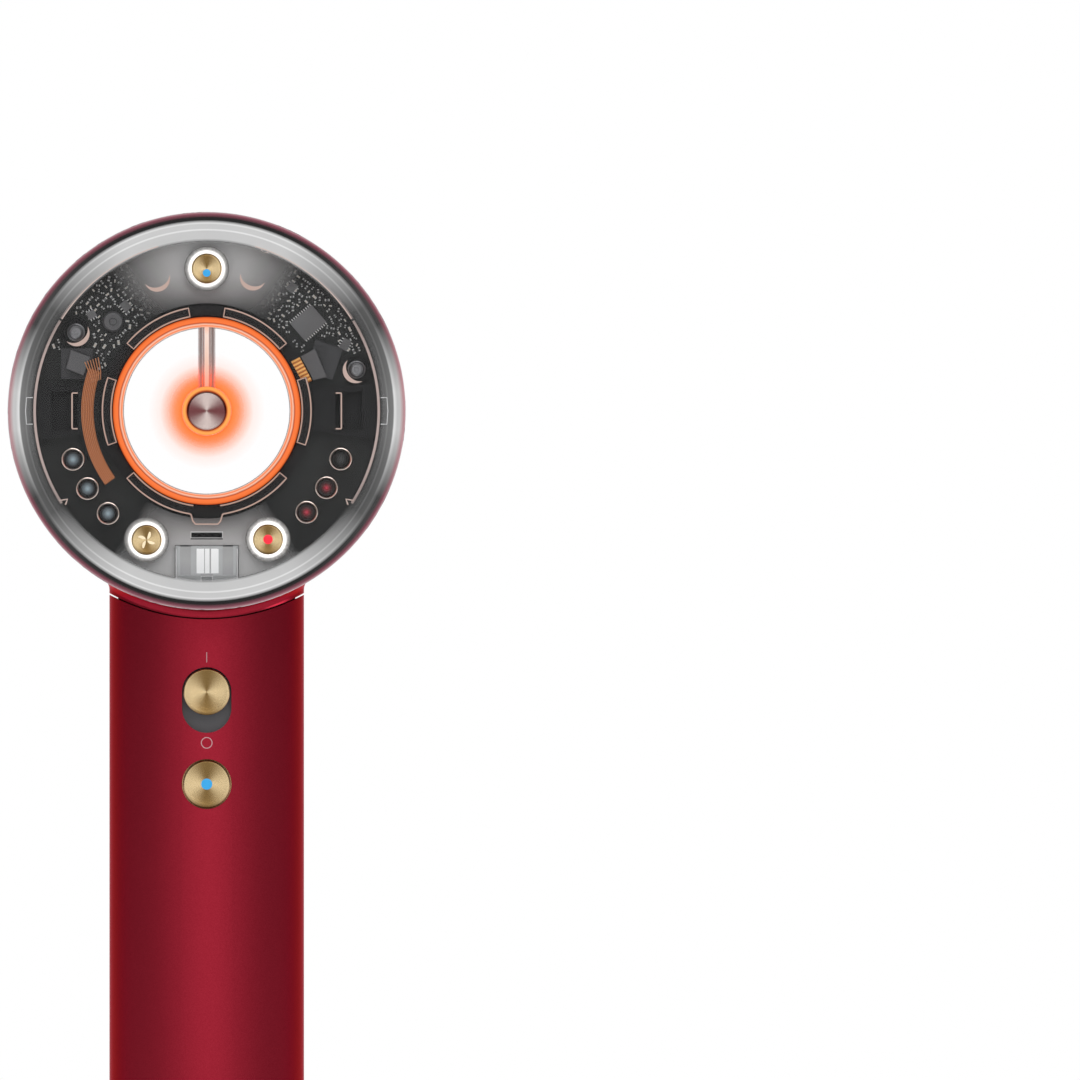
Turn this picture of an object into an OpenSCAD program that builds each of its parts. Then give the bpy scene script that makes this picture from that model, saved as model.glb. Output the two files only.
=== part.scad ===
// Hair dryer with a see-through electronics bay at the back of the head.
//
// Frame: +Z is up along the handle, -Y is the clear rear window, +Y is where the air leaves.
// The origin is on the handle's axis, in the middle of the grip.
// "Back" is a distance behind the handle's axis, and "drop" is a distance below the head's axis.

/* [Head] */
// Diameter of the head at its rear edge
head_d = 78; // [70:1:94]
// Narrowing of the barrel's diameter from the rear edge to the nose
barrel_draft = 1.6; // [0:0.2:3]
// Narrowing of the diameter along the nose cone
nose_draft = 16.8; // [8:0.4:20]
// Rear edge of the shell, measured back from the handle's axis
head_back = 36.6; // [34:0.2:44]
// Front end of the straight barrel, measured forward from the handle's axis
barrel_front = 46.9; // [44:0.5:60]
// Length of the nose cone
nose_len = 12.9; // [11:0.5:16]
// Wall of the head shell
head_wall = 1.3; // [1:0.1:1.6]
// Height of the head's axis above the middle of the grip
head_z = 124; // [110:1:140]

/* [Bore] */
// Diameter of the hole that runs right through the head
bore_d = 32.8; // [27:0.2:36]
// Wall of the bore tube
bore_wall = 1.2; // [1:0.1:1.5]
// Width of the glowing ring round the bore
glow_w = 2; // [1.6:0.1:2.4]
// Diameter of the capsule in the middle of the bore
capsule_d = 9.6; // [8:0.2:12]
// Width of the strut that holds the capsule
strut_w = 3.4; // [2.6:0.2:4.2]

/* [Rear window] */
// Thickness of the clear window
lens_t = 2.4; // [2:0.1:3]
// Gap between the window and the rear edge of the shell
lens_gap = 0.3; // [0.2:0.1:0.5]
// Depth of the electronics bay behind the window
bay_depth = 14.3; // [13.5:0.1:18]
// Thickness of the circuit boards
board_t = 1.6; // [1:0.2:2]
// Diameter of the three rear buttons
rear_button_d = 5.8; // [4.8:0.2:7]
// Travel of the rear buttons
rear_button_travel = 0.5; // [0.3:0.1:0.6]
// Diameter of the indicator lights
light_d = 3.1; // [2.5:0.1:3.6]

/* [Handle] */
// Outside diameter of the handle
handle_d = 38.3; // [34:0.1:46]
// Wall of the handle
handle_wall = 1.6; // [1.4:0.1:1.9]
// Distance from the underside of the head to the handle shell's lower end
shell_below_head = 127; // [123:1:147]
// Length of the removable filter cage
cage_len = 39.7; // [34:0.1:48]
// Gap of the seam between the neck and the handle
seam_gap = 0.3; // [0.3:0.1:0.8]

/* [Handle controls] */
// Diameter of the power slider
slider_d = 9.1; // [7.6:0.1:11]
// Travel of the power slider
slider_travel = 3.2; // [2.4:0.2:5]
// Distance from the underside of the head to the slider's middle, switched on
slider_below_head = 16.2; // [15:0.2:21]
// Height of the slider above the handle's surface
slider_proud = 1.6; // [1:0.2:2.4]
// Diameter of the cool-shot button
cool_d = 9.2; // [7.6:0.1:11]
// Distance from the slider's middle down to the cool-shot button's middle
cool_pitch = 18.1; // [17:0.1:23]
// Height of the cool-shot button above the handle's surface
cool_proud = 0.6; // [0.4:0.1:1]
// Travel of the cool-shot button
cool_travel = 0.8; // [0.5:0.1:1]
// Gap round every button and slider
control_gap = 0.3; // [0.25:0.05:0.4]

/* [Motor] */
// Distance from the underside of the head to the motor's upper end
motor_below_head = 61; // [59:1:65]
// Length of the motor
motor_len = 44; // [44:1:50]
// Diameter of the motor's shaft
shaft_d = 3; // [2.4:0.2:3.6]
// Blades on the impeller
impeller_blades = 13; // [9:2:15]
// Tilt of the impeller's blades from the shaft's direction
blade_tilt = 38; // [30:1:45]
// Vanes behind the impeller
diffuser_blades = 11; // [7:2:13]

/* [Heater and outlet] */
// Length of the heater
heater_len = 25; // [20:1:25]
// Turns of heating wire on each of the two rows
heater_turns = 7; // [5:1:7]
// Diameter of the heating wire's coil
coil_d = 1.6; // [1.2:0.1:1.8]
// Width of the ring-shaped outlet slot
outlet_w = 3; // [2.4:0.1:3.4]
// Vanes in the outlet
outlet_blades = 12; // [8:1:16]
// Depth of the seat that attachments plug into
seat_depth = 5.4; // [4:0.1:6]
// Magnets in the attachment ring
magnet_count = 8; // [6:1:10]

/* [Filter and base] */
// Holes round the filter cage
cage_holes = 28; // [20:2:32]
// Rows of holes along the filter cage
cage_rows = 9; // [6:1:10]
// Diameter of the holes in the filter cage
cage_hole_d = 1.8; // [1.4:0.1:2]
// Diameter of the supply cord's passage
cord_hole_d = 7.2; // [6:0.1:8]

/* [Hidden] */
$fn = 72;
fit = 0.1;          // gap between pieces that are assembled once
moving_gap = 0.3;   // gap between pieces that move past each other
bearing_gap = 0.05; // running gap between the shaft and its bearings
over = 1;           // how far a cutting solid runs past what it cuts
joint_lap = 0.2;    // how far features of one piece run into each other

head_r = head_d / 2;
barrel_front_r = head_r - barrel_draft / 2;
nose_r = barrel_front_r - nose_draft / 2;
nose_front = barrel_front + nose_len;
nose_wall = head_wall / cos(atan2(barrel_front_r - nose_r, nose_len));
head_inner_r = head_r - head_wall;
bore_r = bore_d / 2;
bore_outer_r = bore_r + bore_wall;
glow_outer_r = bore_r + glow_w;
capsule_r = capsule_d / 2;

// Radius of the barrel's outside at a distance back from the handle's axis
function barrel_r(back) = head_r
  - (head_r - barrel_front_r) * (head_back - back) / (head_back + barrel_front);
// Radius of the shell's inside at a distance back from the handle's axis
function inner_r(back) = head_inner_r
  - (head_inner_r - barrel_front_r + nose_wall) * (head_back - back) / (head_back + barrel_front);

// The rear window and the bay behind it, from back to front
lens_back = head_back + lens_gap;
lens_face = lens_back + lens_t;
lens_inner_r = glow_outer_r + moving_gap;
spigot_outer_r = head_inner_r - 1.1;
spigot_inner_r = spigot_outer_r - 1.7;
spigot_len = 3.5;
bulkhead_t = 1.4;
bulkhead_back = lens_back - bay_depth;       // rear face of the bulkhead
board_back = bulkhead_back + 4 + board_t;    // rear face of the main board
collar_top = lens_back - 3.9;                // rear face of the bore collar and the bay's wall
collar_outer_r = glow_outer_r + 2.4;
bay_wall_r = spigot_inner_r - 0.9;           // inner radius of the bay's wall
bay_mid_r = (collar_outer_r + bay_wall_r) / 2 + 0.5;
trim_w = 0.5;                                // thickness of the trim arcs on the bay's wall

// Places round the bay, as angles seen from behind, counted from the right
button_angles = [90, 245, 295.5];
light_angles = [199.9, 213.1, 226.1, 340.2, 327.3, 314.6];
screw_places = [[149, bay_mid_r + 2], [15.4, bay_mid_r + 2.6], [110.6, bay_mid_r], [70.9, bay_mid_r]];
chip_places = [[41, bay_mid_r - 1.6], [136.3, bay_mid_r - 2.6], [62, bay_mid_r + 2.6], [120, bay_mid_r + 3]];
connector_places = [[160, bay_mid_r - 0.8], [23.5, collar_outer_r + 4.3]];
passive_spans = [[22, 66], [120, 155]];
top_half_span = 37;
top_leg_places = [for (side = [-1, 1]) [90 + side * (top_half_span - 2), bay_wall_r - 2.2]];
leg_r = 0.7;

rear_button_r = rear_button_d / 2;
button_flange_r = rear_button_r + 0.5;
bezel_inner_r = button_flange_r + 0.2;
bezel_outer_r = bezel_inner_r + 0.7;
light_r = light_d / 2;
light_bezel_r = light_r + 0.75;
screw_r = 0.95;
screw_head_r = 1.75;
screw_cup_r = 2.7;

// The handle
handle_r = handle_d / 2;
handle_inner_r = handle_r - handle_wall;
shell_drop = head_r + shell_below_head;
slider_drop = head_r + slider_below_head;
motor_drop = head_r + motor_below_head;
collar_r = barrel_r(0) + 2;                  // outside of the neck collar, round the head's axis
neck_root_r = barrel_r(0) - head_wall / 2;   // where the neck collar joins the shell
coupler_outer_r = handle_inner_r - fit;
coupler_inner_r = coupler_outer_r - 2;
coupler_end_drop = collar_r + 6;
cage_drop = shell_drop + moving_gap;
base_drop = cage_drop + cage_len;

// The controls on the handle, as distances from the handle's axis
slider_r = slider_d / 2;
cool_r = cool_d / 2;
cool_drop = slider_drop + cool_pitch;
slot_r = slider_r + control_gap;
carriage_w = slider_d + 2;
carriage_face = sqrt(pow(handle_inner_r, 2) - pow(carriage_w / 2, 2)) - moving_gap;
carriage_t = 1;
carriage_nub_t = 0.6;
cool_flange_r = cool_r + 1;
cool_flange_face = sqrt(pow(handle_inner_r, 2) - pow(cool_flange_r, 2)) - moving_gap;
cool_flange_t = 0.8;
control_board_face = carriage_face - 4.8;
control_board_top = slider_drop - 10.2;
control_board_end = cool_drop + cool_flange_r + 4.6;

// The motor, as drops and radii
bucket_outer_r = handle_inner_r - 2;
motor_r = bucket_outer_r - 1.6;
duct_r = motor_r - 1.1;
motor_end = motor_drop + motor_len;
shaft_r = shaft_d / 2;
bearing_r = shaft_r + 2.5;
bearing_len = 3;
magnet_r = shaft_r + 2.7;
core_inner_r = magnet_r + 0.4;
core_outer_r = duct_r - 3.2;
impeller_len = 8;
impeller_end = motor_end - 4;
impeller_r = duct_r - 0.4;
hub_r = core_outer_r - 2.4;

// Supply leads run down the rear side of the handle, inside its wall
lead_r = 0.7;
lead_x = 5;
lead_y = -sqrt(pow(handle_inner_r - lead_r - 0.25, 2) - pow(lead_x, 2));
lead_slot_y = lead_y + lead_r + 0.4;

// The heater and the outlet, measured forward from the handle's axis
heater_front = barrel_front - 1;
heater_back = heater_front - heater_len;
sleeve_outer_r = inner_r(-heater_front) - 1.4;
sleeve_inner_r = sleeve_outer_r - 0.6;
heater_hub_r = bore_outer_r + 1.6;
coil_rows = [heater_hub_r + 4.5, sleeve_inner_r - 4.5];
seat_back = nose_front - seat_depth;
lip_outer_r = bore_outer_r + 2.6;
outlet_outer_r = lip_outer_r + outlet_w;
seat_r = outlet_outer_r + 1.8;
ring_outer_r = nose_r - nose_wall - fit;
magnet_size_r = 1.3;
magnet_pitch_r = (seat_r + ring_outer_r) / 2 + 0.1;

// The base
cage_inner_r = handle_inner_r + 0.05;
frame_outer_r = cage_inner_r - moving_gap;
frame_inner_r = frame_outer_r - 1.3;
mesh_outer_r = bucket_outer_r - 1.2;
cap_t = 3;
post_t = 2.1;
cord_hole_r = cord_hole_d / 2;
gland_outer_r = cord_hole_r + 2;
gland_len = 9;
anchor_t = 3;

// ---- Frames and shared shapes ----

// The head's own frame: Z runs back from the handle's axis, and Y is up
module head_frame(back = 0) {
  translate([0, -back, head_z]) rotate([90, 0, 0]) children();
}

// A place on the handle's axis, a distance below the head's axis
module below_head(drop) {
  translate([0, 0, head_z - drop]) children();
}

// A place on the handle's rear side: Z runs back from there
module on_handle(drop, back) {
  translate([0, -back, head_z - drop]) rotate([90, 0, 0]) children();
}

// A place in the bay at an angle and a radius
module at_polar(angle, radius) {
  rotate([0, 0, angle]) translate([radius, 0, 0]) children();
}

module tube(outer_r, inner_r, length) {
  difference() {
    cylinder(r = outer_r, h = length);
    translate([0, 0, -over]) cylinder(r = inner_r, h = length + 2 * over);
  }
}

module handle_tube(outer_r, inner_r, from_drop, to_drop) {
  below_head(to_drop) tube(outer_r, inner_r, to_drop - from_drop);
}

module ring_sector(outer_r, inner_r, from_angle, to_angle, length) {
  rotate([0, 0, from_angle])
    rotate_extrude(angle = to_angle - from_angle)
      translate([inner_r, 0]) square([outer_r - inner_r, length]);
}

module block(x, y, z) {
  translate([-x / 2, -y / 2, 0]) cube([x, y, z]);
}

// The groove that the supply leads take through a piece
module lead_slot(from_drop, to_drop) {
  width = 2 * (lead_x + lead_r + 0.6);
  translate([-width / 2, -handle_r - over, head_z - to_drop])
    cube([width, handle_r + over + lead_slot_y, to_drop - from_drop]);
}

// ---- Head ----

module shell_outline() {
  edge = 0.3;
  polygon([
    [head_inner_r, head_back], [head_r - edge, head_back], [head_r, head_back - edge],
    [barrel_front_r, -barrel_front], [nose_r + edge, -nose_front + edge], [nose_r, -nose_front],
    [nose_r - nose_wall, -nose_front], [barrel_front_r - nose_wall, -barrel_front]
  ]);
}

module head_shell() {
  ledge_h = 1.2;
  color("firebrick") difference() {
    union() {
      head_frame() rotate_extrude($fn = 128) shell_outline();
      head_frame(bulkhead_back - bulkhead_t - ledge_h)
        tube(inner_r(bulkhead_back) + 0.3, inner_r(bulkhead_back) - 1.6, ledge_h);
      intersection() {
        below_head(collar_r + over) cylinder(r = handle_r, h = collar_r);
        head_frame(-handle_r - over) tube(collar_r, neck_root_r, 2 * handle_r + 2 * over);
      }
    }
    below_head(collar_r + 2 * over)
      cylinder(r = coupler_outer_r + fit / 2, h = collar_r);
  }
}

module lens_outline() {
  edge = 0.5;
  polygon([
    [lens_inner_r, lens_back], [lens_inner_r, lens_face - edge / 2],
    [lens_inner_r + edge / 2, lens_face], [head_r - edge, lens_face], [head_r, lens_face - edge],
    [head_r, lens_back], [spigot_outer_r, lens_back], [spigot_outer_r, lens_back - spigot_len],
    [spigot_inner_r, lens_back - spigot_len], [spigot_inner_r, lens_back]
  ]);
}

module rear_lens() {
  clip_w = 5.2;
  clip_t = 1.1;
  color("lightcyan") head_frame() {
    difference() {
      union() {
        rotate_extrude($fn = 128) lens_outline();
        for (side = [0, 180])
          rotate([0, 0, side])
            translate([spigot_inner_r - clip_t, -clip_w / 2, lens_back - spigot_len + 0.1])
              cube([clip_t + 0.4, clip_w, spigot_len]);
      }
      for (angle = button_angles)
        at_polar(angle, bay_mid_r)
          translate([0, 0, lens_back - over])
            cylinder(r = rear_button_r + 0.15, h = lens_t + 2 * over);
    }
  }
}

module lens_seal() {
  color("black") head_frame(lens_back - spigot_len + 0.2)
    tube(head_inner_r - fit, spigot_outer_r, spigot_len - lens_gap - 0.2);
}

module glow_ring() {
  depth = 2.7;
  edge = 0.6;
  color("orangered") head_frame() rotate_extrude($fn = 128) polygon([
    [bore_r, lens_face - depth - 0.2], [bore_r, lens_face - edge],
    [bore_r + edge, lens_face - 0.2], [glow_outer_r - edge, lens_face - 0.2],
    [glow_outer_r, lens_face - edge], [glow_outer_r, lens_face - depth - 0.2]
  ]);
}

module bore_tube() {
  back = lens_face - 2.9;
  lip = 6;
  flare = 1.6;
  color("dimgray") head_frame() rotate_extrude($fn = 128) polygon([
    [bore_r, back], [bore_outer_r, back], [bore_outer_r, -heater_front + 2],
    [lip_outer_r, -seat_back + 2.5], [lip_outer_r, -seat_back],
    [bore_r + flare, -seat_back], [bore_r, -seat_back + lip]
  ]);
}

module bore_collar() {
  color("darkslategray") head_frame(bulkhead_back)
    tube(collar_outer_r, bore_outer_r + fit, collar_top - bulkhead_back);
}

module bay_wall() {
  color("darkslategray") head_frame(bulkhead_back)
    tube(bay_wall_r + 0.8, bay_wall_r, collar_top - bulkhead_back);
}

module rear_bulkhead() {
  post_r = 2.4;
  color("dimgray") head_frame() {
    translate([0, 0, bulkhead_back - bulkhead_t])
      tube(inner_r(bulkhead_back) - fit - 0.2, bore_outer_r + fit, bulkhead_t);
    for (place = screw_places)
      at_polar(place[0], place[1])
        translate([0, 0, bulkhead_back - joint_lap])
          tube(post_r, screw_r, board_back - board_t - bulkhead_back + joint_lap);
  }
}

module capsule_body() {
  length = 15;
  nose = 3.2;
  face = lens_face - 2.3;
  color("gray") head_frame() rotate_extrude() polygon(concat(
    [[0, face], [capsule_r, face], [capsule_r, face - length + nose]],
    [for (a = [15 : 15 : 90])
      [capsule_r * cos(a), face - length + nose - nose * sin(a)]]
  ));
}

module capsule_glow_ring() {
  color("orange") head_frame(lens_face - 2.3) tube(capsule_r, capsule_r - 0.9, 1.5);
}

module capsule_lens() {
  radius = capsule_r - 0.9;
  color("rosybrown") head_frame(lens_face - 2.3) rotate_extrude() polygon([
    [0, 0], [radius, 0], [radius, 1.3], [radius - 0.4, 1.6], [0, 1.6]
  ]);
}

module capsule_strut() {
  depth = 11;
  color("gainsboro") head_frame(lens_face - 3 - depth) intersection() {
    translate([-strut_w / 2, 0, 0]) cube([strut_w, head_r, depth]);
    tube(bore_r, capsule_r, depth);
  }
}

module strut_light_pipe() {
  pipe_w = 0.8;
  color("white") head_frame(lens_face - 3) intersection() {
    translate([-pipe_w / 2, 0, 0]) cube([pipe_w, head_r, 0.5]);
    tube(bore_r, capsule_r, 0.5);
  }
}

// ---- Electronics bay ----

module main_board() {
  color("darkgreen") head_frame(board_back - board_t) difference() {
    tube(bay_wall_r, collar_outer_r, board_t);
    for (place = screw_places)
      at_polar(place[0], place[1])
        translate([0, 0, -over]) cylinder(r = screw_r + fit, h = board_t + 2 * over);
  }
}

// Each chip's length along the radius, length across it and height
chip_sizes = [[5.7, 4.3, 1.1], [4, 4, 1.6], [3.2, 2.6, 0.9], [2.8, 3.2, 0.9]];

module board_chips() {
  color("black") head_frame(board_back) {
    for (i = [0, 2, 3])
      at_polar(chip_places[i][0], chip_places[i][1])
        block(chip_sizes[i][0], chip_sizes[i][1], chip_sizes[i][2]);
    at_polar(chip_places[1][0], chip_places[1][1])
      cylinder(d = chip_sizes[1][0], h = chip_sizes[1][2]);
  }
}

// Distance between two places in the bay, each an angle and a radius
function span(p, q) = sqrt(p[1] * p[1] + q[1] * q[1] - 2 * p[1] * q[1] * cos(p[0] - q[0]));
// Places on the board that small parts keep away from, each with its radius
keep_out = concat(
  [for (p = screw_places) [p, screw_cup_r + 0.9]],
  [for (p = chip_places) [p, 4.2]],
  [for (p = connector_places) [p, 5.8]],
  [for (p = top_leg_places) [p, leg_r + 1.2]]
);
function is_free(p) = len([for (k = keep_out) if (span(p, k[0]) < k[1]) 1]) == 0;

module board_passives() {
  pitch = 1.9;
  color("tan") head_frame(board_back)
    for (limits = passive_spans)
      for (row = [0 : floor((bay_wall_r - collar_outer_r - 2.4) / pitch)]) {
        radius = collar_outer_r + 1.4 + row * pitch;
        step = 1.7 * 180 / (PI * radius);
        for (i = [0 : floor((limits[1] - limits[0]) / step)]) {
          place = [limits[0] + (i + (row % 2) / 2) * step, radius];
          if (is_free(place) && (i * 3 + row * 5) % 7 > 1)
            at_polar(place[0], place[1])
              block((i + row) % 3 == 0 ? 1.5 : 1.1, 0.7, 0.4 + 0.15 * ((i + 2 * row) % 4));
        }
      }
}

module flex_connector(length, width) {
  height = 2.6;
  groove = 0.5;
  difference() {
    block(length, width, height);
    for (y = [-width / 2 + 1 : 1.1 : width / 2 - 1])
      translate([-length / 2 - over, y - groove / 2, height - 0.6])
        cube([length * 0.7, groove, 2]);
  }
}

module flex_connectors() {
  color("black") head_frame(board_back) {
    at_polar(connector_places[0][0], connector_places[0][1])
      rotate([0, 0, -70]) flex_connector(6, 6.2);
    at_polar(connector_places[1][0], connector_places[1][1])
      rotate([0, 0, -42]) flex_connector(5.6, 6.4);
  }
}

module flex_ribbon() {
  color("peru") head_frame(collar_top)
    ring_sector(collar_outer_r + 3.8, collar_outer_r + 1.4, 160, 216, 0.2);
}

module window_carrier(angle) {
  half_span = 10;
  window_h = 7.6;
  window_from = collar_outer_r + 4.5;
  window_w = 5.2;
  height = collar_top - board_back;
  head_frame(board_back) rotate([0, 0, angle]) {
    difference() {
      ring_sector(bay_wall_r - trim_w - fit, collar_outer_r + fit, -half_span, half_span, height);
      translate([window_from, -window_h / 2, 1]) cube([window_w, window_h, height]);
    }
    translate([window_from + 0.8, -2.6, 1]) cube([0.8, 5.2, height - 1.6]);
  }
}

module left_window_carrier() {
  color("darkslategray") window_carrier(180);
}

module right_window_carrier() {
  color("darkslategray") window_carrier(0);
}

module outer_trim_arcs() {
  color("lightpink") head_frame(collar_top - 1.4)
    for (span_angles = [[106.4, 147.6], [148.4, 212.5], [-32.5, 31.6], [32.4, 73.6]])
      ring_sector(bay_wall_r, bay_wall_r - trim_w, span_angles[0], span_angles[1], 1.8);
}

module inner_trim_arcs() {
  rim = 0.15;
  color("slategray") head_frame(collar_top)
    for (span_angles = [[99.6, 140.2], [160.9, 199.6], [219.7, 262]])
      for (side = [0, 1]) {
        from_angle = side == 0 ? span_angles[0] : 180 - span_angles[1];
        to_angle = side == 0 ? span_angles[1] : 180 - span_angles[0];
        ring_sector(collar_outer_r - rim, glow_outer_r + fit, from_angle, to_angle, 2.2);
      }
}

module diffuser_leg(angle, radius, height) {
  at_polar(angle, radius) translate([0, 0, -height]) cylinder(r = leg_r, h = height + joint_lap);
}

module top_diffuser() {
  thickness = 1;
  lift = collar_top - board_back;
  color("whitesmoke") head_frame(collar_top) {
    difference() {
      ring_sector(bay_wall_r - 0.8, collar_outer_r + 0.3, 90 - top_half_span, 90 + top_half_span,
        thickness);
      at_polar(90, bay_mid_r)
        translate([0, 0, -over]) cylinder(r = bezel_outer_r + fit, h = thickness + 2 * over);
    }
    for (place = top_leg_places)
      diffuser_leg(place[0], place[1], lift);
  }
}

light_block_w = 12.3;
light_block_top = bay_mid_r - 1.5;
light_block_h = sqrt(pow(bay_wall_r, 2) - pow(light_block_w / 2, 2)) - light_block_top - fit;

module bottom_diffuser() {
  half_span = 34;
  thickness = 1;
  lift = collar_top - board_back;
  slot_w = 6.3;
  slot_h = 1.3;
  color("whitesmoke") head_frame(collar_top) {
    difference() {
      ring_sector(bay_wall_r - 0.8, collar_outer_r + 0.3, 270 - half_span, 270 + half_span, thickness);
      for (angle = [button_angles[1], button_angles[2]])
        at_polar(angle, bay_mid_r)
          translate([0, 0, -over]) cylinder(r = bezel_outer_r + fit, h = thickness + 2 * over);
      translate([-light_block_w / 2 - fit, -head_r, -over])
        cube([light_block_w + 2 * fit, head_r - light_block_top + fit, thickness + 2 * over]);
      translate([-slot_w / 2, -light_block_top + 1.2, -over])
        cube([slot_w, slot_h, thickness + 2 * over]);
    }
    for (side = [-1, 1])
      diffuser_leg(270 + side * (half_span - 1.8), bay_wall_r - 2.2, lift);
  }
}

module light_block() {
  height = collar_top + 2.8 - board_back;
  rib = 0.5;
  gap_w = 2.6;
  color("aliceblue") head_frame(board_back)
    translate([0, -light_block_top - light_block_h, 0]) difference() {
      translate([-light_block_w / 2, 0, 0]) cube([light_block_w, light_block_h, height]);
      for (side = [-1, 1])
        translate([side * (gap_w + rib + 1.05) - 1.05, 1.2, 1.2])
          cube([2.1, light_block_h - 0.6, height]);
      translate([-1.2, -over, height - 0.8]) cube([2.4, over + 1.4, 2]);
      translate([-gap_w + rib, 2.4, height - 1.4]) cube([2 * gap_w - 2 * rib, light_block_h - 3, 3]);
    }
}

module button_bezels() {
  color("white") head_frame(board_back)
    for (angle = button_angles)
      at_polar(angle, bay_mid_r)
        tube(bezel_outer_r, bezel_inner_r, lens_back - fit - board_back);
}

switch_h = 1.6;
plunger_h = 0.6;
stem_end = switch_h + plunger_h + rear_button_travel + 0.1;

module button_switches() {
  color("silver") {
    head_frame(board_back)
      for (angle = button_angles)
        at_polar(angle, bay_mid_r) {
          block(4.4, 4.4, switch_h);
          translate([0, 0, switch_h]) cylinder(r = 0.9, h = plunger_h);
        }
    for (place = [
      [slider_drop, carriage_face - carriage_t - carriage_nub_t],
      [cool_drop, cool_flange_face - cool_flange_t - cool_travel]
    ])
      on_handle(place[0], control_board_face) {
        reach = place[1] - fit - control_board_face;
        block(8, 8, reach - 1);
        translate([0, 0, reach - 1]) cylinder(r = 1.5, h = 1);
      }
  }
}

module rear_button(angle) {
  proud = 0.05;
  flange_t = 0.6;
  head_frame() at_polar(angle, bay_mid_r) {
    translate([0, 0, lens_back - fit]) rotate_extrude() polygon([
      [0, 0], [rear_button_r, 0], [rear_button_r, lens_t + fit + proud - 0.25],
      [rear_button_r - 0.25, lens_t + fit + proud], [0, lens_t + fit + proud]
    ]);
    translate([0, 0, lens_back - fit - flange_t]) cylinder(r = button_flange_r, h = flange_t);
    translate([0, 0, board_back + stem_end])
      cylinder(r = 1.2, h = lens_back - fit - flange_t - board_back - stem_end);
  }
}

module mode_button() {
  color("darkkhaki") rear_button(button_angles[0]);
}

module airflow_button() {
  color("darkkhaki") rear_button(button_angles[1]);
}

module heat_button() {
  color("darkkhaki") rear_button(button_angles[2]);
}

module indicator_bezels() {
  color("linen") head_frame(board_back)
    for (angle = light_angles)
      at_polar(angle, bay_mid_r)
        tube(light_bezel_r, light_r, collar_top + 1.6 - board_back);
}

module indicator_lights() {
  dome = 0.7;
  length = collar_top + 0.8 - board_back;
  color("lightsteelblue") head_frame(board_back)
    for (angle = light_angles)
      at_polar(angle, bay_mid_r) rotate_extrude() polygon(concat(
        [[0, 0], [light_r - 0.05, 0]],
        [for (a = [0 : 15 : 90]) [(light_r - 0.05) * cos(a), length + dome * sin(a)]]
      ));
}

module board_screws() {
  head_h = 1.4;
  color("darkgray") head_frame()
    for (place = screw_places)
      at_polar(place[0], place[1])
        difference() {
          union() {
            translate([0, 0, board_back]) cylinder(r = screw_head_r, h = head_h);
            translate([0, 0, board_back - board_t - 3]) cylinder(r = screw_r - 0.02, h = board_t + 3.2);
          }
          translate([0, 0, board_back + head_h - 0.8]) cylinder(r = 0.85, h = 2, $fn = 6);
        }
}

module screw_cups() {
  color("mistyrose") head_frame(board_back)
    for (place = screw_places)
      at_polar(place[0], place[1]) tube(screw_cup_r, screw_cup_r - 0.4, 2.2);
}

// ---- Heater and outlet ----

// The middles of the heating coil's turns, each a radius and a distance from the heater's front
coil_turns = [for (row = coil_rows, turn = [0 : heater_turns - 1])
  [row, (turn + 0.5) * heater_len / heater_turns]];

// One fin of the heater's frame, with a window that each turn of the coil passes through
module heater_fin(thickness, reach) {
  notch_r = coil_d / 2 + 0.1;
  end_inset = 0.5;
  difference() {
    translate([heater_hub_r + 0.4, -thickness / 2, end_inset])
      cube([reach, thickness, heater_len - 2 * end_inset]);
    for (place = coil_turns)
      translate([place[0] - notch_r, -thickness, place[1] - notch_r])
        cube([2 * notch_r, 2 * thickness, 2 * notch_r]);
  }
}

module heater_frame() {
  fins = 6;
  color("wheat") head_frame(-heater_front) {
    tube(heater_hub_r + 0.8, heater_hub_r, heater_len);
    for (i = [0 : fins - 1])
      rotate([0, 0, (i + 0.5) * 360 / fins]) heater_fin(1, sleeve_inner_r - heater_hub_r - 0.6);
  }
}

module heater_coils() {
  color("lightslategray") head_frame(-heater_front)
    for (place = coil_turns)
      translate([0, 0, place[1]])
        rotate_extrude() translate([place[0], 0]) circle(d = coil_d, $fn = 24);
}

module heater_sleeve() {
  color("burlywood") head_frame(-heater_front) tube(sleeve_outer_r, sleeve_inner_r, heater_len);
}

module thermal_cutoff() {
  color("white") head_frame(-heater_back + 1) {
    at_polar(30, (coil_rows[0] + coil_rows[1]) / 2) block(5, 9, 3);
    at_polar(150, (coil_rows[0] + coil_rows[1]) / 2) cylinder(r = 1.2, h = 4);
  }
}

module ionizer() {
  color("black") head_frame(-8) {
    at_polar(62, (heater_hub_r + sleeve_inner_r) / 2) block(9, 13, 14);
    at_polar(62, (heater_hub_r + sleeve_inner_r) / 2) translate([0, 0, 14]) cylinder(r = 1, h = 3);
  }
}

module outlet_funnel() {
  funnel_wall = 1.2;
  vane_t = 0.8;
  vane_h = 1.4;
  color("darkslategray") head_frame() {
    rotate_extrude($fn = 128) polygon([
      [sleeve_outer_r, -heater_front], [outlet_outer_r + funnel_wall, -seat_back],
      [outlet_outer_r, -seat_back], [outlet_outer_r, -seat_back + 2],
      [sleeve_inner_r, -heater_front]
    ]);
    for (i = [0 : outlet_blades - 1])
      rotate([0, 0, i * 360 / outlet_blades])
        translate([lip_outer_r + fit / 2, -vane_t / 2, -seat_back + 0.2])
          cube([outlet_w + joint_lap, vane_t, vane_h]);
  }
}

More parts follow.
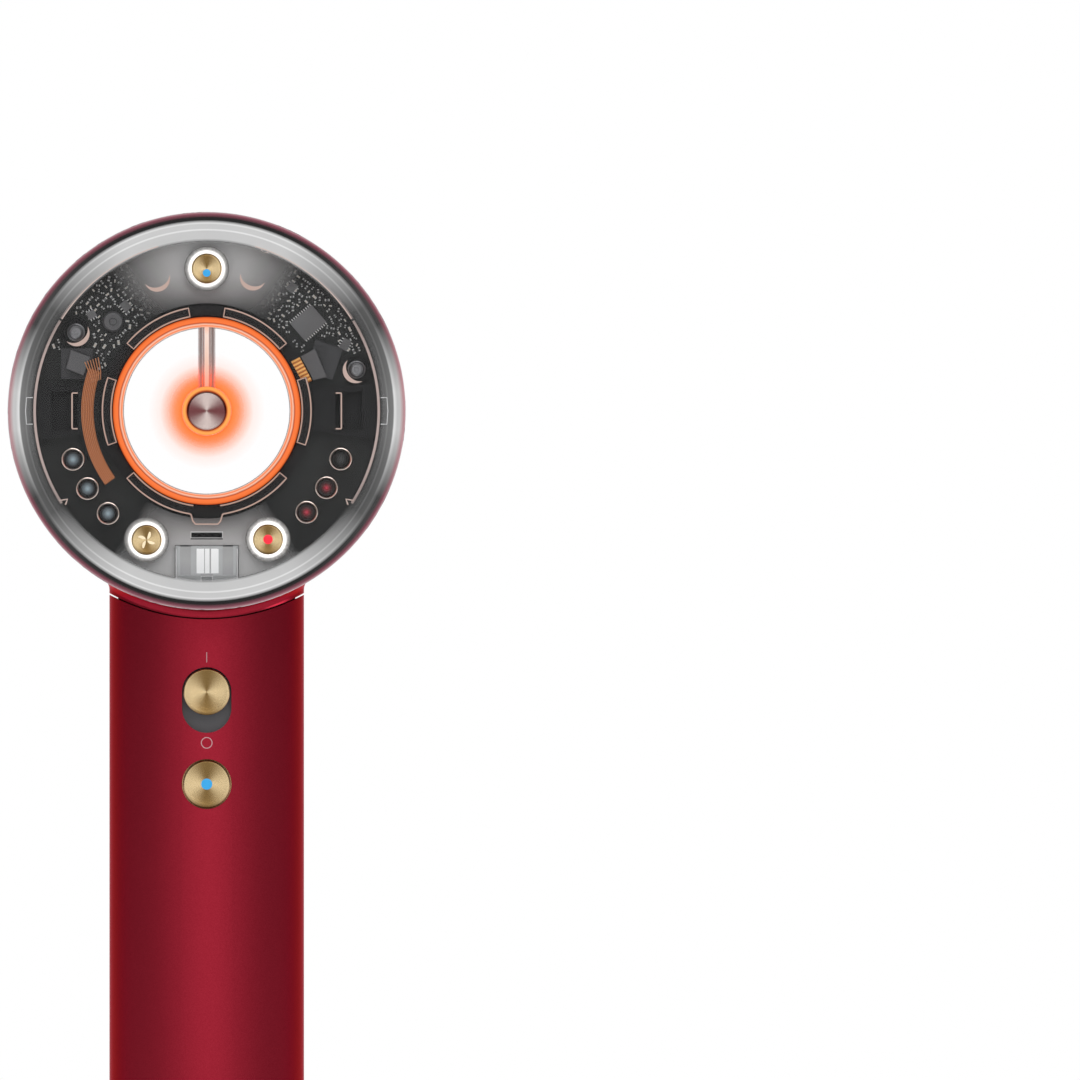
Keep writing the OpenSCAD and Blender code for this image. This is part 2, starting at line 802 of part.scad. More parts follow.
module attachment_ring() {
  slope = (barrel_front_r - nose_r) / nose_len;
  color("silver") head_frame() difference() {
    rotate_extrude($fn = 128) polygon([
      [seat_r, -nose_front + 0.5], [seat_r + 0.5, -nose_front], [ring_outer_r, -nose_front],
      [ring_outer_r + slope * seat_depth, -seat_back], [seat_r, -seat_back]
    ]);
    for (i = [0 : magnet_count - 1])
      at_polar((i + 0.5) * 360 / magnet_count, magnet_pitch_r)
        translate([0, 0, -nose_front + 1.2]) cylinder(r = magnet_size_r, h = seat_depth);
  }
}

module attachment_magnets() {
  color("dimgray") head_frame(-nose_front + 1.2)
    for (i = [0 : magnet_count - 1])
      at_polar((i + 0.5) * 360 / magnet_count, magnet_pitch_r)
        cylinder(r = magnet_size_r, h = seat_depth - 1.2);
}

// ---- Handle and its controls ----

module neck_coupler() {
  top_drop = inner_r(0) - 1.4;
  color("black") difference() {
    handle_tube(coupler_outer_r, coupler_inner_r, sqrt(pow(top_drop, 2) - pow(coupler_outer_r, 2)),
      coupler_end_drop);
    head_frame(-handle_r - over) cylinder(r = top_drop, h = 2 * handle_r + 2 * over);
    head_frame(bulkhead_back - bulkhead_t - fit) cylinder(r = inner_r(0), h = handle_r);
    on_handle(slider_drop, 0) block(carriage_w + 1, 2 * (slider_drop - collar_r - 1), handle_r);
  }
}

module slider_slot() {
  length = slider_travel;
  linear_extrude(height = handle_r) {
    circle(r = slot_r);
    translate([-slot_r, -length]) square([2 * slot_r, length]);
    translate([0, -length]) circle(r = slot_r);
  }
}

module handle_shell() {
  edge = 0.4;
  top = coupler_outer_r / 2;
  color("firebrick") difference() {
    below_head(shell_drop) rotate_extrude($fn = 128) polygon([
      [handle_inner_r, 0], [handle_r - edge, 0], [handle_r, edge], [handle_r, shell_drop - top],
      [handle_inner_r, shell_drop - top]
    ]);
    head_frame(-handle_r - over) cylinder(r = collar_r + seam_gap, h = 2 * handle_r + 2 * over);
    on_handle(slider_drop, handle_inner_r / 2) slider_slot();
    on_handle(cool_drop, handle_inner_r / 2) cylinder(r = cool_r + control_gap, h = handle_r);
  }
}

module power_slider() {
  face = handle_r + slider_proud;
  cap_t = slider_proud + handle_wall;
  edge = 0.3;
  color("darkkhaki") on_handle(slider_drop, 0) {
    translate([0, 0, face - cap_t]) rotate_extrude() polygon([
      [0, 0], [slider_r, 0], [slider_r, cap_t - edge], [slider_r - edge, cap_t], [0, cap_t]
    ]);
    translate([0, 0, carriage_face])
      cylinder(r = slider_r - 1.2, h = face - cap_t - carriage_face + joint_lap);
  }
}

module slider_carriage() {
  length = slider_d + 2 * slider_travel + 3;
  color("black") on_handle(slider_drop, carriage_face - carriage_t) {
    block(carriage_w, length, carriage_t);
    translate([0, 0, -carriage_nub_t]) block(3, 3, carriage_nub_t);
  }
}

module cool_shot_button() {
  face = handle_r + cool_proud;
  edge = 0.3;
  cap_t = cool_proud + handle_wall + 0.6;
  color("darkkhaki") on_handle(cool_drop, 0) {
    translate([0, 0, face - cap_t]) rotate_extrude() polygon([
      [0, 0], [cool_r, 0], [cool_r, cap_t - edge], [cool_r - edge, cap_t], [0, cap_t]
    ]);
    translate([0, 0, cool_flange_face])
      cylinder(r = cool_r - 0.6, h = face - cap_t - cool_flange_face);
    translate([0, 0, cool_flange_face - cool_flange_t])
      cylinder(r = cool_flange_r, h = cool_flange_t);
  }
}

module control_board() {
  board_w = 15;
  terminal_h = 4;
  terminal_w = 2 * lead_x + 3.2;
  terminal_face = sqrt(pow(handle_inner_r, 2) - pow(terminal_w / 2, 2)) - fit;
  color("darkgreen")
    translate([-board_w / 2, -control_board_face, head_z - control_board_end])
      cube([board_w, board_t, control_board_end - control_board_top]);
  color("black")
    translate([-terminal_w / 2, -terminal_face, head_z - control_board_end])
      cube([terminal_w, terminal_face - control_board_face, terminal_h]);
}

// ---- Motor ----

module motor_sleeve() {
  rib_h = 3;
  color("dimgray") difference() {
    union() {
      handle_tube(bucket_outer_r, motor_r + fit / 2, motor_drop - 2, motor_end + 2);
      for (drop = [motor_drop + 3, (motor_drop + motor_end) / 2, motor_end - 3])
        handle_tube(handle_inner_r - fit, bucket_outer_r - 0.4, drop - rib_h / 2, drop + rib_h / 2);
    }
    lead_slot(motor_drop - 3, motor_end + 3);
  }
}

upper_bearing_drop = motor_drop + 2;
lower_bearing_drop = motor_drop + 23;
magnet_drop = upper_bearing_drop + bearing_len + 2;
magnet_len = lower_bearing_drop - magnet_drop - 2;

module bearing_seat(drop) {
  handle_tube(bearing_r + 1.2, bearing_r, drop, drop + bearing_len);
  for (i = [0 : 3])
    below_head(drop + bearing_len)
      rotate([0, 0, 45 + i * 90])
        translate([bearing_r + 0.6, -0.6, 0])
          cube([duct_r - bearing_r - 0.3, 1.2, bearing_len]);
}

module motor_frame() {
  vane_t = 0.7;
  vane_tilt = 20;
  diffuser_top = lower_bearing_drop + bearing_len;
  diffuser_end = impeller_end - impeller_len - 0.6;
  vane_len = (diffuser_end - diffuser_top - vane_t) / cos(vane_tilt);
  color("silver") {
    handle_tube(motor_r, duct_r, motor_drop, motor_end);
    bearing_seat(upper_bearing_drop);
    bearing_seat(lower_bearing_drop);
    for (i = [0 : diffuser_blades - 1])
      below_head((diffuser_top + diffuser_end) / 2)
        rotate([0, 0, i * 360 / diffuser_blades])
          translate([hub_r - 0.4, 0, 0]) rotate([vane_tilt, 0, 0])
            translate([0, -vane_t / 2, -vane_len / 2])
              cube([duct_r - hub_r + 0.4 + vane_t, vane_t, vane_len]);
    handle_tube(hub_r, bearing_r + 1, diffuser_top - joint_lap, diffuser_end);
    for (drop = [upper_bearing_drop, lower_bearing_drop])
      handle_tube(bearing_r, shaft_r + bearing_gap, drop, drop + bearing_len);
  }
}

module stator_core() {
  tooth_w = 2.4;
  color("slategray") difference() {
    union() {
      handle_tube(core_outer_r, core_outer_r - 1.6, magnet_drop, magnet_drop + magnet_len);
      below_head(magnet_drop + magnet_len)
        for (i = [0 : 3])
          rotate([0, 0, i * 90])
            translate([core_inner_r - 0.3, -tooth_w / 2, 0])
              cube([core_outer_r - core_inner_r - 0.8, tooth_w, magnet_len]);
    }
    handle_tube(core_inner_r, 0.01, magnet_drop - over, magnet_drop + magnet_len + over);
  }
}

module stator_coils() {
  tooth_w = 2.4;
  winding = 0.8;
  color("peru") below_head(magnet_drop + magnet_len)
    for (i = [0 : 3])
      rotate([0, 0, i * 90])
        translate([core_inner_r + 0.5, 0, 0]) difference() {
          translate([0, -tooth_w / 2 - winding, -winding])
            cube([core_outer_r - core_inner_r - 2.4, tooth_w + 2 * winding, magnet_len + 2 * winding]);
          translate([-over, -tooth_w / 2, 0])
            cube([core_outer_r, tooth_w, magnet_len]);
        }
}

module rotor() {
  color("silver") {
    below_head(impeller_end + 2)
      cylinder(r = shaft_r, h = impeller_end + 2 - upper_bearing_drop + 1);
    below_head(magnet_drop + magnet_len) cylinder(r = magnet_r, h = magnet_len);
  }
}

module impeller() {
  blade_t = 0.7;
  top = impeller_end - impeller_len;
  color("gainsboro") difference() {
    union() {
      below_head(impeller_end) rotate_extrude() polygon(concat(
        [[0, impeller_len], [hub_r, impeller_len]],
        [for (a = [0 : 15 : 75]) [3 + (hub_r - 3) * cos(a), impeller_len * (1 - sin(a))]],
        [[3, 0], [0, 0]]
      ));
      intersection() {
        below_head(impeller_end)
          for (i = [0 : impeller_blades - 1])
            rotate([0, 0, i * 360 / impeller_blades])
              translate([2.4, 0, impeller_len / 2]) rotate([blade_tilt, 0, 0])
                translate([0, -blade_t / 2, -impeller_len * 0.6])
                  cube([impeller_r, blade_t, impeller_len * 1.2]);
        handle_tube(impeller_r, 2.2, top + 0.4, impeller_end - 0.4);
      }
    }
    below_head(impeller_end + over) cylinder(r = shaft_r, h = impeller_len + 2 * over);
  }
}

module motor_board() {
  color("darkgreen") handle_tube(bucket_outer_r - fit, 3, motor_drop - 5, motor_drop - 5 + board_t);
  color("black") below_head(motor_drop - 5)
    for (i = [0 : 4])
      rotate([0, 0, 20 + i * 66]) translate([bucket_outer_r - 5.5, 0, 0])
        block(3.4, 2.6 + 0.5 * (i % 2), 1.4 + 0.8 * (i % 3));
}

module supply_leads() {
  color("ivory")
    for (side = [-1, 1])
      translate([side * lead_x, lead_y, head_z - base_drop + gland_len + anchor_t])
        cylinder(r = lead_r, h = base_drop - gland_len - anchor_t - control_board_end);
}

// ---- Base and filter ----

module intake_frame() {
  collar_top_drop = shell_drop - 8;
  collar_end_drop = cage_drop + 6;
  bell_r = frame_inner_r - duct_r;
  color("dimgray") difference() {
    union() {
      handle_tube(frame_outer_r, frame_inner_r, collar_top_drop, collar_end_drop);
      below_head(collar_top_drop) rotate_extrude() polygon(concat(
        [for (a = [0 : 15 : 90]) [duct_r + bell_r * (1 - cos(a)), bell_r * (1 - sin(a))]],
        [[frame_inner_r, -joint_lap], [frame_outer_r, -joint_lap], [frame_outer_r, bell_r + 0.8],
        [duct_r, bell_r + 0.8]]
      ));
      below_head(base_drop - cap_t)
        for (i = [0 : 3])
          ring_sector(frame_outer_r - 0.3, frame_outer_r - post_t, 38 + i * 90, 52 + i * 90,
            base_drop - cap_t - collar_end_drop + 1);
    }
    lead_slot(collar_top_drop - 4, collar_end_drop + over);
  }
}

module filter_mesh() {
  color("darkgray") handle_tube(mesh_outer_r, mesh_outer_r - 0.8, cage_drop + 2,
    base_drop - gland_len - anchor_t - 4);
}

module filter_cage() {
  margin = 5;
  row_pitch = (cage_len - 2 * margin) / (cage_rows - 1);
  edge = 0.8;
  color("brown") below_head(base_drop) difference() {
    rotate_extrude($fn = 128) polygon([
      [cage_inner_r, 0], [handle_r - edge, 0], [handle_r, edge], [handle_r, cage_len - edge / 2],
      [handle_r - edge / 2, cage_len], [cage_inner_r, cage_len]
    ]);
    for (row = [0 : cage_rows - 1])
      for (i = [0 : cage_holes - 1])
        rotate([0, 0, (i + (row % 2) / 2) * 360 / cage_holes])
          translate([cage_inner_r - over, 0, margin + row * row_pitch])
            rotate([0, 90, 0]) cylinder(d = cage_hole_d, h = handle_wall + 2 * over, $fn = 16);
  }
}

module end_cap() {
  gland_top = base_drop - gland_len;
  anchor_w = 2 * lead_x + 2.8;
  anchor_face = sqrt(pow(frame_outer_r, 2) - pow(anchor_w / 2, 2)) - fit;
  color("dimgray") {
    handle_tube(frame_outer_r, cord_hole_r, base_drop - cap_t, base_drop);
    handle_tube(gland_outer_r, cord_hole_r, gland_top, base_drop - cap_t + joint_lap);
    translate([-anchor_w / 2, -anchor_face, head_z - gland_top])
      cube([anchor_w, anchor_face + gland_outer_r, anchor_t]);
  }
}

head_shell();
rear_lens();
lens_seal();
glow_ring();
bore_tube();
bore_collar();
bay_wall();
rear_bulkhead();
capsule_body();
capsule_glow_ring();
capsule_lens();
capsule_strut();
strut_light_pipe();
main_board();
board_chips();
board_passives();
flex_connectors();
flex_ribbon();
left_window_carrier();
right_window_carrier();
outer_trim_arcs();
inner_trim_arcs();
top_diffuser();
bottom_diffuser();
light_block();
button_bezels();
button_switches();
indicator_bezels();
indicator_lights();
board_screws();
screw_cups();
mode_button();
airflow_button();
heat_button();
heater_frame();
heater_sleeve();
heater_coils();
thermal_cutoff();
ionizer();
outlet_funnel();
attachment_ring();
attachment_magnets();
neck_coupler();
handle_shell();
power_slider();
slider_carriage();
cool_shot_button();
control_board();
motor_sleeve();
motor_frame();
stator_core();
stator_coils();
rotor();
impeller();
motor_board();
supply_leads();
intake_frame();
filter_mesh();
filter_cage();
end_cap();
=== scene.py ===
"""A red hair dryer whose clear rear window shows its electronics, posed upright as if held by the grip.

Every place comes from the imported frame. Lengths are in metres, and MM turns millimetres into metres.
"""
import math
import random

import bmesh
import bpy
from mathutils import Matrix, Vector

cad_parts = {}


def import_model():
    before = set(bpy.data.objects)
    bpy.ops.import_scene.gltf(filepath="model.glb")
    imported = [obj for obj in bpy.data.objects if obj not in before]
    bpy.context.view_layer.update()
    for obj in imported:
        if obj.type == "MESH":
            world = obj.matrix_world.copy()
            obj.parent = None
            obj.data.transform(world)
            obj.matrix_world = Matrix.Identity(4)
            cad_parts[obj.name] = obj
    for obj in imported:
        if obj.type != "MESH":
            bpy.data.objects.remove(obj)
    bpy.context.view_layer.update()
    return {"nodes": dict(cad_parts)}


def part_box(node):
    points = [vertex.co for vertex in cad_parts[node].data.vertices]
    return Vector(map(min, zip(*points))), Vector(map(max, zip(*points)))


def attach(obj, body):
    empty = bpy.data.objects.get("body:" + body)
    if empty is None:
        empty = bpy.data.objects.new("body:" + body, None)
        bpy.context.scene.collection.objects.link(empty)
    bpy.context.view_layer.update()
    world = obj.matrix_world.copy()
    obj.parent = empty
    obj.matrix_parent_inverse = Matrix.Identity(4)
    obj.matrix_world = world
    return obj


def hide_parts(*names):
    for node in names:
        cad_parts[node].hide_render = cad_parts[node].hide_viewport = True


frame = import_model()

MM = 0.001

# ---- Places read from the frame ----

lens_lo, lens_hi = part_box("rear_lens")
shell_lo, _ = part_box("head_shell")
handle_lo, handle_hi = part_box("handle_shell")
base_lo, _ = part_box("end_cap")
ring_lo, ring_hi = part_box("glow_ring")
wall_lo, wall_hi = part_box("bay_wall")
collar_lo, collar_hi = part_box("bore_collar")
board_lo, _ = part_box("main_board")
capsule_lo, capsule_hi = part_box("capsule_lens")
strut_lo, strut_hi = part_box("capsule_strut")
trim_lo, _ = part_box("inner_trim_arcs")
arc_lo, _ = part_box("outer_trim_arcs")
ribbon_lo, ribbon_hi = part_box("flex_ribbon")
light_lo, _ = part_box("indicator_lights")
bezel_lo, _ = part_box("button_bezels")
block_lo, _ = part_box("light_block")
slider_lo, slider_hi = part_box("power_slider")

HEAD_Z = (lens_lo.z + lens_hi.z) / 2
HEAD_R = (lens_hi.x - lens_lo.x) / 2
HANDLE_R = (handle_hi.x - handle_lo.x) / 2
LENS_FACE = lens_lo.y
SHELL_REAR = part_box("head_shell")[0].y
BOARD_FACE = board_lo.y
GLOW_R = (ring_hi.x - ring_lo.x) / 2
COLLAR_R = (collar_hi.x - collar_lo.x) / 2
BAY_R = (wall_hi.x - wall_lo.x) / 2 - 0.8 * MM
CAPSULE_R = (capsule_hi.x - capsule_lo.x) / 2
STRUT_HALF = (strut_hi.x - strut_lo.x) / 2
HEAD_AXIS = (0, 0, HEAD_Z)


# ---- Shader helpers ----

def add_node(tree, kind, inputs=None, **settings):
    """A new node. An input that is a socket is linked, and any other is set."""
    node = tree.nodes.new(kind)
    for key, value in settings.items():
        setattr(node, key, value)
    for key, value in (inputs or {}).items():
        if isinstance(value, bpy.types.NodeSocket):
            tree.links.new(value, node.inputs[key])
        else:
            node.inputs[key].default_value = value
    return node


def math_node(tree, operation, a, b=0.0, c=0.0):
    node = add_node(tree, "ShaderNodeMath", operation=operation)
    for socket, value in zip(node.inputs, (a, b, c)):
        if isinstance(value, bpy.types.NodeSocket):
            tree.links.new(value, socket)
        else:
            socket.default_value = value
    return node.outputs[0]


def ramp(tree, value, stops, interpolation="LINEAR"):
    """A colour ramp through (position, grey or colour) stops."""
    node = add_node(tree, "ShaderNodeValToRGB", {"Fac": value})
    node.color_ramp.interpolation = interpolation
    elements = node.color_ramp.elements
    while len(elements) < len(stops):
        elements.new(0.5)
    for element, (place, colour) in zip(elements, stops):
        element.position = place
        element.color = (colour,) * 3 + (1,) if isinstance(colour, (int, float)) else (*colour, 1)
    return node.outputs["Color"]


def mix_colour(tree, factor, a, b, blend_type="MIX"):
    node = add_node(tree, "ShaderNodeMix", data_type="RGBA", blend_type=blend_type)
    for socket, value in zip((node.inputs[0], node.inputs[6], node.inputs[7]), (factor, a, b)):
        if isinstance(value, bpy.types.NodeSocket):
            tree.links.new(value, socket)
        else:
            socket.default_value = value if isinstance(value, (int, float)) else (*value, 1)
    return node.outputs[2]


def start_material(name, **constants):
    """A material with one Principled shader whose sockets are set from the names given."""
    material = bpy.data.materials.new(name)
    material.use_nodes = True
    tree = material.node_tree
    shader = tree.nodes["Principled BSDF"]
    for key, value in constants.items():
        socket = shader.inputs[key.replace("_", " ")]
        socket.default_value = (*value, 1) if isinstance(value, tuple) and len(value) == 3 else value
    return material, tree, shader


def object_place(tree, centre=(0, 0, 0)):
    """Object coordinates counted from a centre."""
    coords = add_node(tree, "ShaderNodeTexCoord").outputs["Object"]
    return add_node(tree, "ShaderNodeVectorMath", {0: coords, 1: centre}, operation="SUBTRACT").outputs[0]


def radius_from(tree, centre):
    """Distance from a line along Y through the centre, in metres."""
    split = add_node(tree, "ShaderNodeSeparateXYZ", {0: object_place(tree, centre)})
    square_x = math_node(tree, "MULTIPLY", split.outputs[0], split.outputs[0])
    square_z = math_node(tree, "MULTIPLY", split.outputs[2], split.outputs[2])
    return math_node(tree, "SQRT", math_node(tree, "ADD", square_x, square_z))


def grain(tree, scale, detail=3.0, centre=(0, 0, 0)):
    """Noise whose features are about `scale` metres across."""
    return add_node(tree, "ShaderNodeTexNoise", {
        "Vector": object_place(tree, centre), "Scale": 1 / scale, "Detail": detail}).outputs[0]


def bump(tree, shader, height, distance):
    node = add_node(tree, "ShaderNodeBump", {"Height": height, "Distance": distance, "Strength": 1.0})
    tree.links.new(node.outputs[0], shader.inputs["Normal"])


def share_between(tree, value, low, high):
    """Maps low..high to 0..1."""
    return add_node(tree, "ShaderNodeMapRange", {
        "Value": value, "From Min": low, "From Max": high}).outputs[0]


def place_xyz(tree, centre=(0, 0, 0)):
    """The X, Y and Z of object coordinates counted from a centre."""
    return add_node(tree, "ShaderNodeSeparateXYZ", {0: object_place(tree, centre)})


def spread(tree, value, low, high):
    """Maps 0..1 to low..high."""
    return add_node(tree, "ShaderNodeMapRange", {"Value": value, "To Min": low, "To Max": high}).outputs[0]


# ---- Materials ----

def moulded(name, colour, roughness=0.5, texture=0.25 * MM, depth=0.006 * MM, vary=0.12, **constants):
    """Moulded plastic, rubber or ceramic: spark-eroded texture with slight changes of shade and gloss."""
    material, tree, shader = start_material(name, **constants)
    fine = grain(tree, texture)
    broad = grain(tree, 7 * MM, 2.0)
    dark = tuple(c * (1 - vary) for c in colour)
    light = tuple(min(1, c * (1 + vary)) for c in colour)
    tree.links.new(mix_colour(tree, broad, dark, light), shader.inputs["Base Color"])
    tree.links.new(spread(tree, fine, roughness - 0.07, roughness + 0.07), shader.inputs["Roughness"])
    bump(tree, shader, fine, depth)
    return material


def satin_red():
    """Metallic red paint with fine flakes under a satin finish."""
    material, tree, shader = start_material("satin_red", Metallic=0.85, Specular_IOR_Level=0.2,
                                            Specular_Tint=(1.0, 0.22, 0.28))
    flakes = add_node(tree, "ShaderNodeTexVoronoi", {
        "Vector": object_place(tree), "Scale": 1 / (0.11 * MM)}).outputs["Color"]
    flake = add_node(tree, "ShaderNodeSeparateColor", {0: flakes}).outputs[0]
    tree.links.new(mix_colour(tree, flake, (0.345, 0.016, 0.033), (0.425, 0.024, 0.045)),
                   shader.inputs["Base Color"])
    cloud = grain(tree, 18 * MM, 2.0)
    tree.links.new(spread(tree, cloud, 0.28, 0.33), shader.inputs["Roughness"])
    bump(tree, shader, grain(tree, 0.5 * MM), 0.0012 * MM)
    return material


def spun_metal(name, colour, dark, centre, painted_sheen_angle, pitch=0.16 * MM, roughness=0.26):
    """Metal turned on a lathe: fine rings round a centre, and a fan of sheen round it that is painted into
    the colour.
    """
    material, tree, shader = start_material(name, Metallic=1.0, Anisotropic=0.6)
    radius = radius_from(tree, centre)
    rings = math_node(tree, "SINE", math_node(tree, "MULTIPLY", radius, 2 * math.pi / pitch))
    wobble = grain(tree, 0.05 * MM)
    split = place_xyz(tree, centre)
    # Painted highlight and shade: the colour swings between the dark and the metal colour with the angle
    # round the centre, a fan of sheen.
    angle = math_node(tree, "ARCTAN2", split.outputs[2], split.outputs[0])
    turn = math_node(tree, "COSINE", math_node(
        tree, "MULTIPLY_ADD", angle, 2.0, -2 * math.radians(painted_sheen_angle)))
    sheen = math_node(tree, "MULTIPLY_ADD", turn, 0.42, 0.46)
    shade = math_node(tree, "ADD", math_node(tree, "MULTIPLY_ADD", rings, 0.10, sheen),
                      math_node(tree, "MULTIPLY_ADD", wobble, 0.24, -0.12))
    tree.links.new(mix_colour(tree, shade, dark, colour), shader.inputs["Base Color"])
    tree.links.new(spread(tree, wobble, roughness - 0.05, roughness + 0.07), shader.inputs["Roughness"])
    tangent = add_node(tree, "ShaderNodeTangent", direction_type="RADIAL", axis="Y")
    tree.links.new(tangent.outputs[0], shader.inputs["Tangent"])
    bump(tree, shader, rings, 0.003 * MM)
    return material


def machined(name, colour, roughness=0.3, scale=0.3 * MM):
    """Bare machined or plated metal with fine tool marks."""
    material, tree, shader = start_material(name, Metallic=1.0)
    marks = grain(tree, scale, 5.0)
    tree.links.new(mix_colour(tree, marks, tuple(c * 0.8 for c in colour), colour),
                   shader.inputs["Base Color"])
    tree.links.new(spread(tree, marks, roughness - 0.08, roughness + 0.1), shader.inputs["Roughness"])
    bump(tree, shader, marks, 0.003 * MM)
    return material


def clear_window():
    """Clear moulded window: it only reflects, apart from its polished border, whose colour is painted light
    and shade.

    The border is frost with two raised ridges drawn as painted highlights, then the dark seal, then the
    shell's paint seen through the rim in a lit and a shaded copy. Painted light makes it bright at the top
    and bottom, painted shade makes it dark at the diagonals, and painted highlights draw fine bright lines at
    the two sides.
    """
    material, tree, shader = start_material("clear_window", IOR=1.5, Specular_IOR_Level=0.3)
    split = place_xyz(tree, HEAD_AXIS)
    radius = radius_from(tree, HEAD_AXIS)
    start, end = 0.84 * HEAD_R, HEAD_R
    share = share_between(tree, radius, start, end)
    line = 0.25 * MM
    ridge_r, rim_r = HEAD_R - 3.5 * MM, HEAD_R - 2.2 * MM
    seal_r, paint_r = HEAD_R - 1.6 * MM, HEAD_R - 0.5 * MM
    # The shell's paint seen through the rim: a shaded and a lit copy of one red, picked by painted light, and
    # the pink edge.
    shaded_paint, lit_paint, edge_pink = (0.25, 0.07, 0.10), (0.60, 0.38, 0.40), (0.65, 0.38, 0.42)

    def profile(frost, ridge, rim, seal, paint):
        """Painted shades from the bay outwards: the frost and its ridges' highlights, the seal, then the
        paint.
        """
        stops = [(ridge_r - line, frost), (ridge_r, ridge), (ridge_r + line, frost), (rim_r - line, frost),
                 (rim_r, rim), (seal_r, seal), (seal_r + 2 * line, seal), (paint_r, paint), (end, edge_pink)]
        return ramp(tree, share, [((r - start) / (end - start), shade) for r, shade in stops])

    # Painted light and shade by direction: bright frost and ridge highlights at the top and bottom, dark at
    # the diagonals, bright painted highlights on the rim and seal at the two sides.
    upright = profile(0.7, 1.0, 0.9, 0.01, shaded_paint)
    diagonal = profile(0.12, 0.2, 0.18, 0.06, shaded_paint)
    level = profile(0.25, 0.35, 1.0, 0.7, lit_paint)
    steep = math_node(tree, "DIVIDE", math_node(tree, "ABSOLUTE", split.outputs[2]), radius)
    leaning = mix_colour(tree, ramp(tree, steep, [(0.10, 0.0), (0.45, 1.0)]), level, diagonal)
    edge = mix_colour(tree, ramp(tree, steep, [(0.55, 0.0), (0.90, 1.0)]), leaning, upright)
    border = mix_colour(tree, ramp(tree, steep, [(0.3, 0.0), (0.85, 1.0)]),
                        ramp(tree, share, [(0.16, 0.0), (0.30, 0.55), (0.60, 0.80), (1.0, 0.88)]),
                        ramp(tree, share, [(0.04, 0.0), (0.16, 0.86), (1.0, 0.95)]))
    flange = add_node(tree, "ShaderNodeMapRange", {
        "Value": split.outputs[1], "From Min": SHELL_REAR - 0.4 * MM, "From Max": SHELL_REAR - 0.25 * MM,
        "To Min": 1.0, "To Max": 0.0}).outputs[0]
    border = math_node(tree, "MULTIPLY", border, flange)
    gloss = add_node(tree, "ShaderNodeFresnel", {"IOR": 1.22}).outputs[0]
    smudge = spread(tree, grain(tree, 22 * MM, 2.0), -0.004, 0.004)
    cover = math_node(tree, "ADD", math_node(tree, "MAXIMUM", border, gloss), smudge)
    tree.links.new(math_node(tree, "MINIMUM", cover, 1.0), shader.inputs["Alpha"])
    tree.links.new(ramp(tree, border, [(0.0, 1.0), (0.05, 0.0)]), shader.inputs["Metallic"])
    clear = mix_colour(tree, ramp(tree, border, [(0.0, 0.0), (0.05, 1.0)]), (0.92, 0.93, 0.94), edge)
    ripple = spread(tree, grain(tree, 9 * MM, 2.0), 0.94, 1.06)
    tinted = mix_colour(tree, 1.0, clear, ripple, "MULTIPLY")
    # Painted reflection: light and dark streaks on the window's outer wall.
    streaks = ramp(tree, grain(tree, 5 * MM, 4.0), [(0.40, (0.80, 0.81, 0.82)), (0.52, (0.62, 0.63, 0.64)),
                                                   (0.58, (0.16, 0.16, 0.17)), (0.66, (0.70, 0.71, 0.72))])
    wall = ramp(tree, share, [(0.980, 0.0), (0.992, 1.0)])
    tree.links.new(mix_colour(tree, wall, tinted, streaks), shader.inputs["Base Color"])
    tree.links.new(spread(tree, grain(tree, 3 * MM), 0.05, 0.10), shader.inputs["Roughness"])
    return material


def clear_part(name, colour, cover, roughness=0.12):
    """Clear or frosted plastic inside the bay."""
    material, tree, shader = start_material(name, IOR=1.5)
    gloss = add_node(tree, "ShaderNodeFresnel", {"IOR": 1.3}).outputs[0]
    ripple = grain(tree, 2.2 * MM, 2.0)
    alpha = math_node(tree, "MAXIMUM", spread(tree, ripple, cover - 0.05, cover + 0.05), gloss)
    tree.links.new(math_node(tree, "MINIMUM", alpha, 1.0), shader.inputs["Alpha"])
    tree.links.new(mix_colour(tree, ripple, tuple(c * 0.9 for c in colour), colour),
                   shader.inputs["Base Color"])
    tree.links.new(spread(tree, grain(tree, 0.4 * MM), roughness, roughness + 0.1),
                   shader.inputs["Roughness"])
    bump(tree, shader, ripple, 0.01 * MM)
    return material


def strut_plastic():
    """Clear strut with painted shade across its width: it darkens towards its two edges as refraction darkens
    a thick clear bar.
    """
    material, tree, shader = start_material("strut_plastic", IOR=1.5, Roughness=0.12)
    split = place_xyz(tree)
    share = math_node(tree, "DIVIDE", math_node(tree, "ABSOLUTE", split.outputs[0]), STRUT_HALF)
    ripple = spread(tree, grain(tree, 1.2 * MM, 2.0), -0.05, 0.05)
    place = math_node(tree, "ADD", share, ripple)
    # Painted shade and light across the strut's width, from its middle out to its edges.
    tree.links.new(ramp(tree, place, [(0.0, 0.15), (0.24, 0.30), (0.34, 0.74), (0.50, 0.42), (0.62, 0.78),
                                      (0.82, 0.66), (0.92, 0.34), (1.0, 0.40)]), shader.inputs["Alpha"])
    tree.links.new(ramp(tree, place, [(0.0, (0.60, 0.42, 0.36)), (0.4, (0.30, 0.17, 0.14)),
                                      (0.7, (0.20, 0.14, 0.13)), (1.0, (0.42, 0.33, 0.32))]),
                   shader.inputs["Base Color"])
    bump(tree, shader, ripple, 0.01 * MM)
    return material


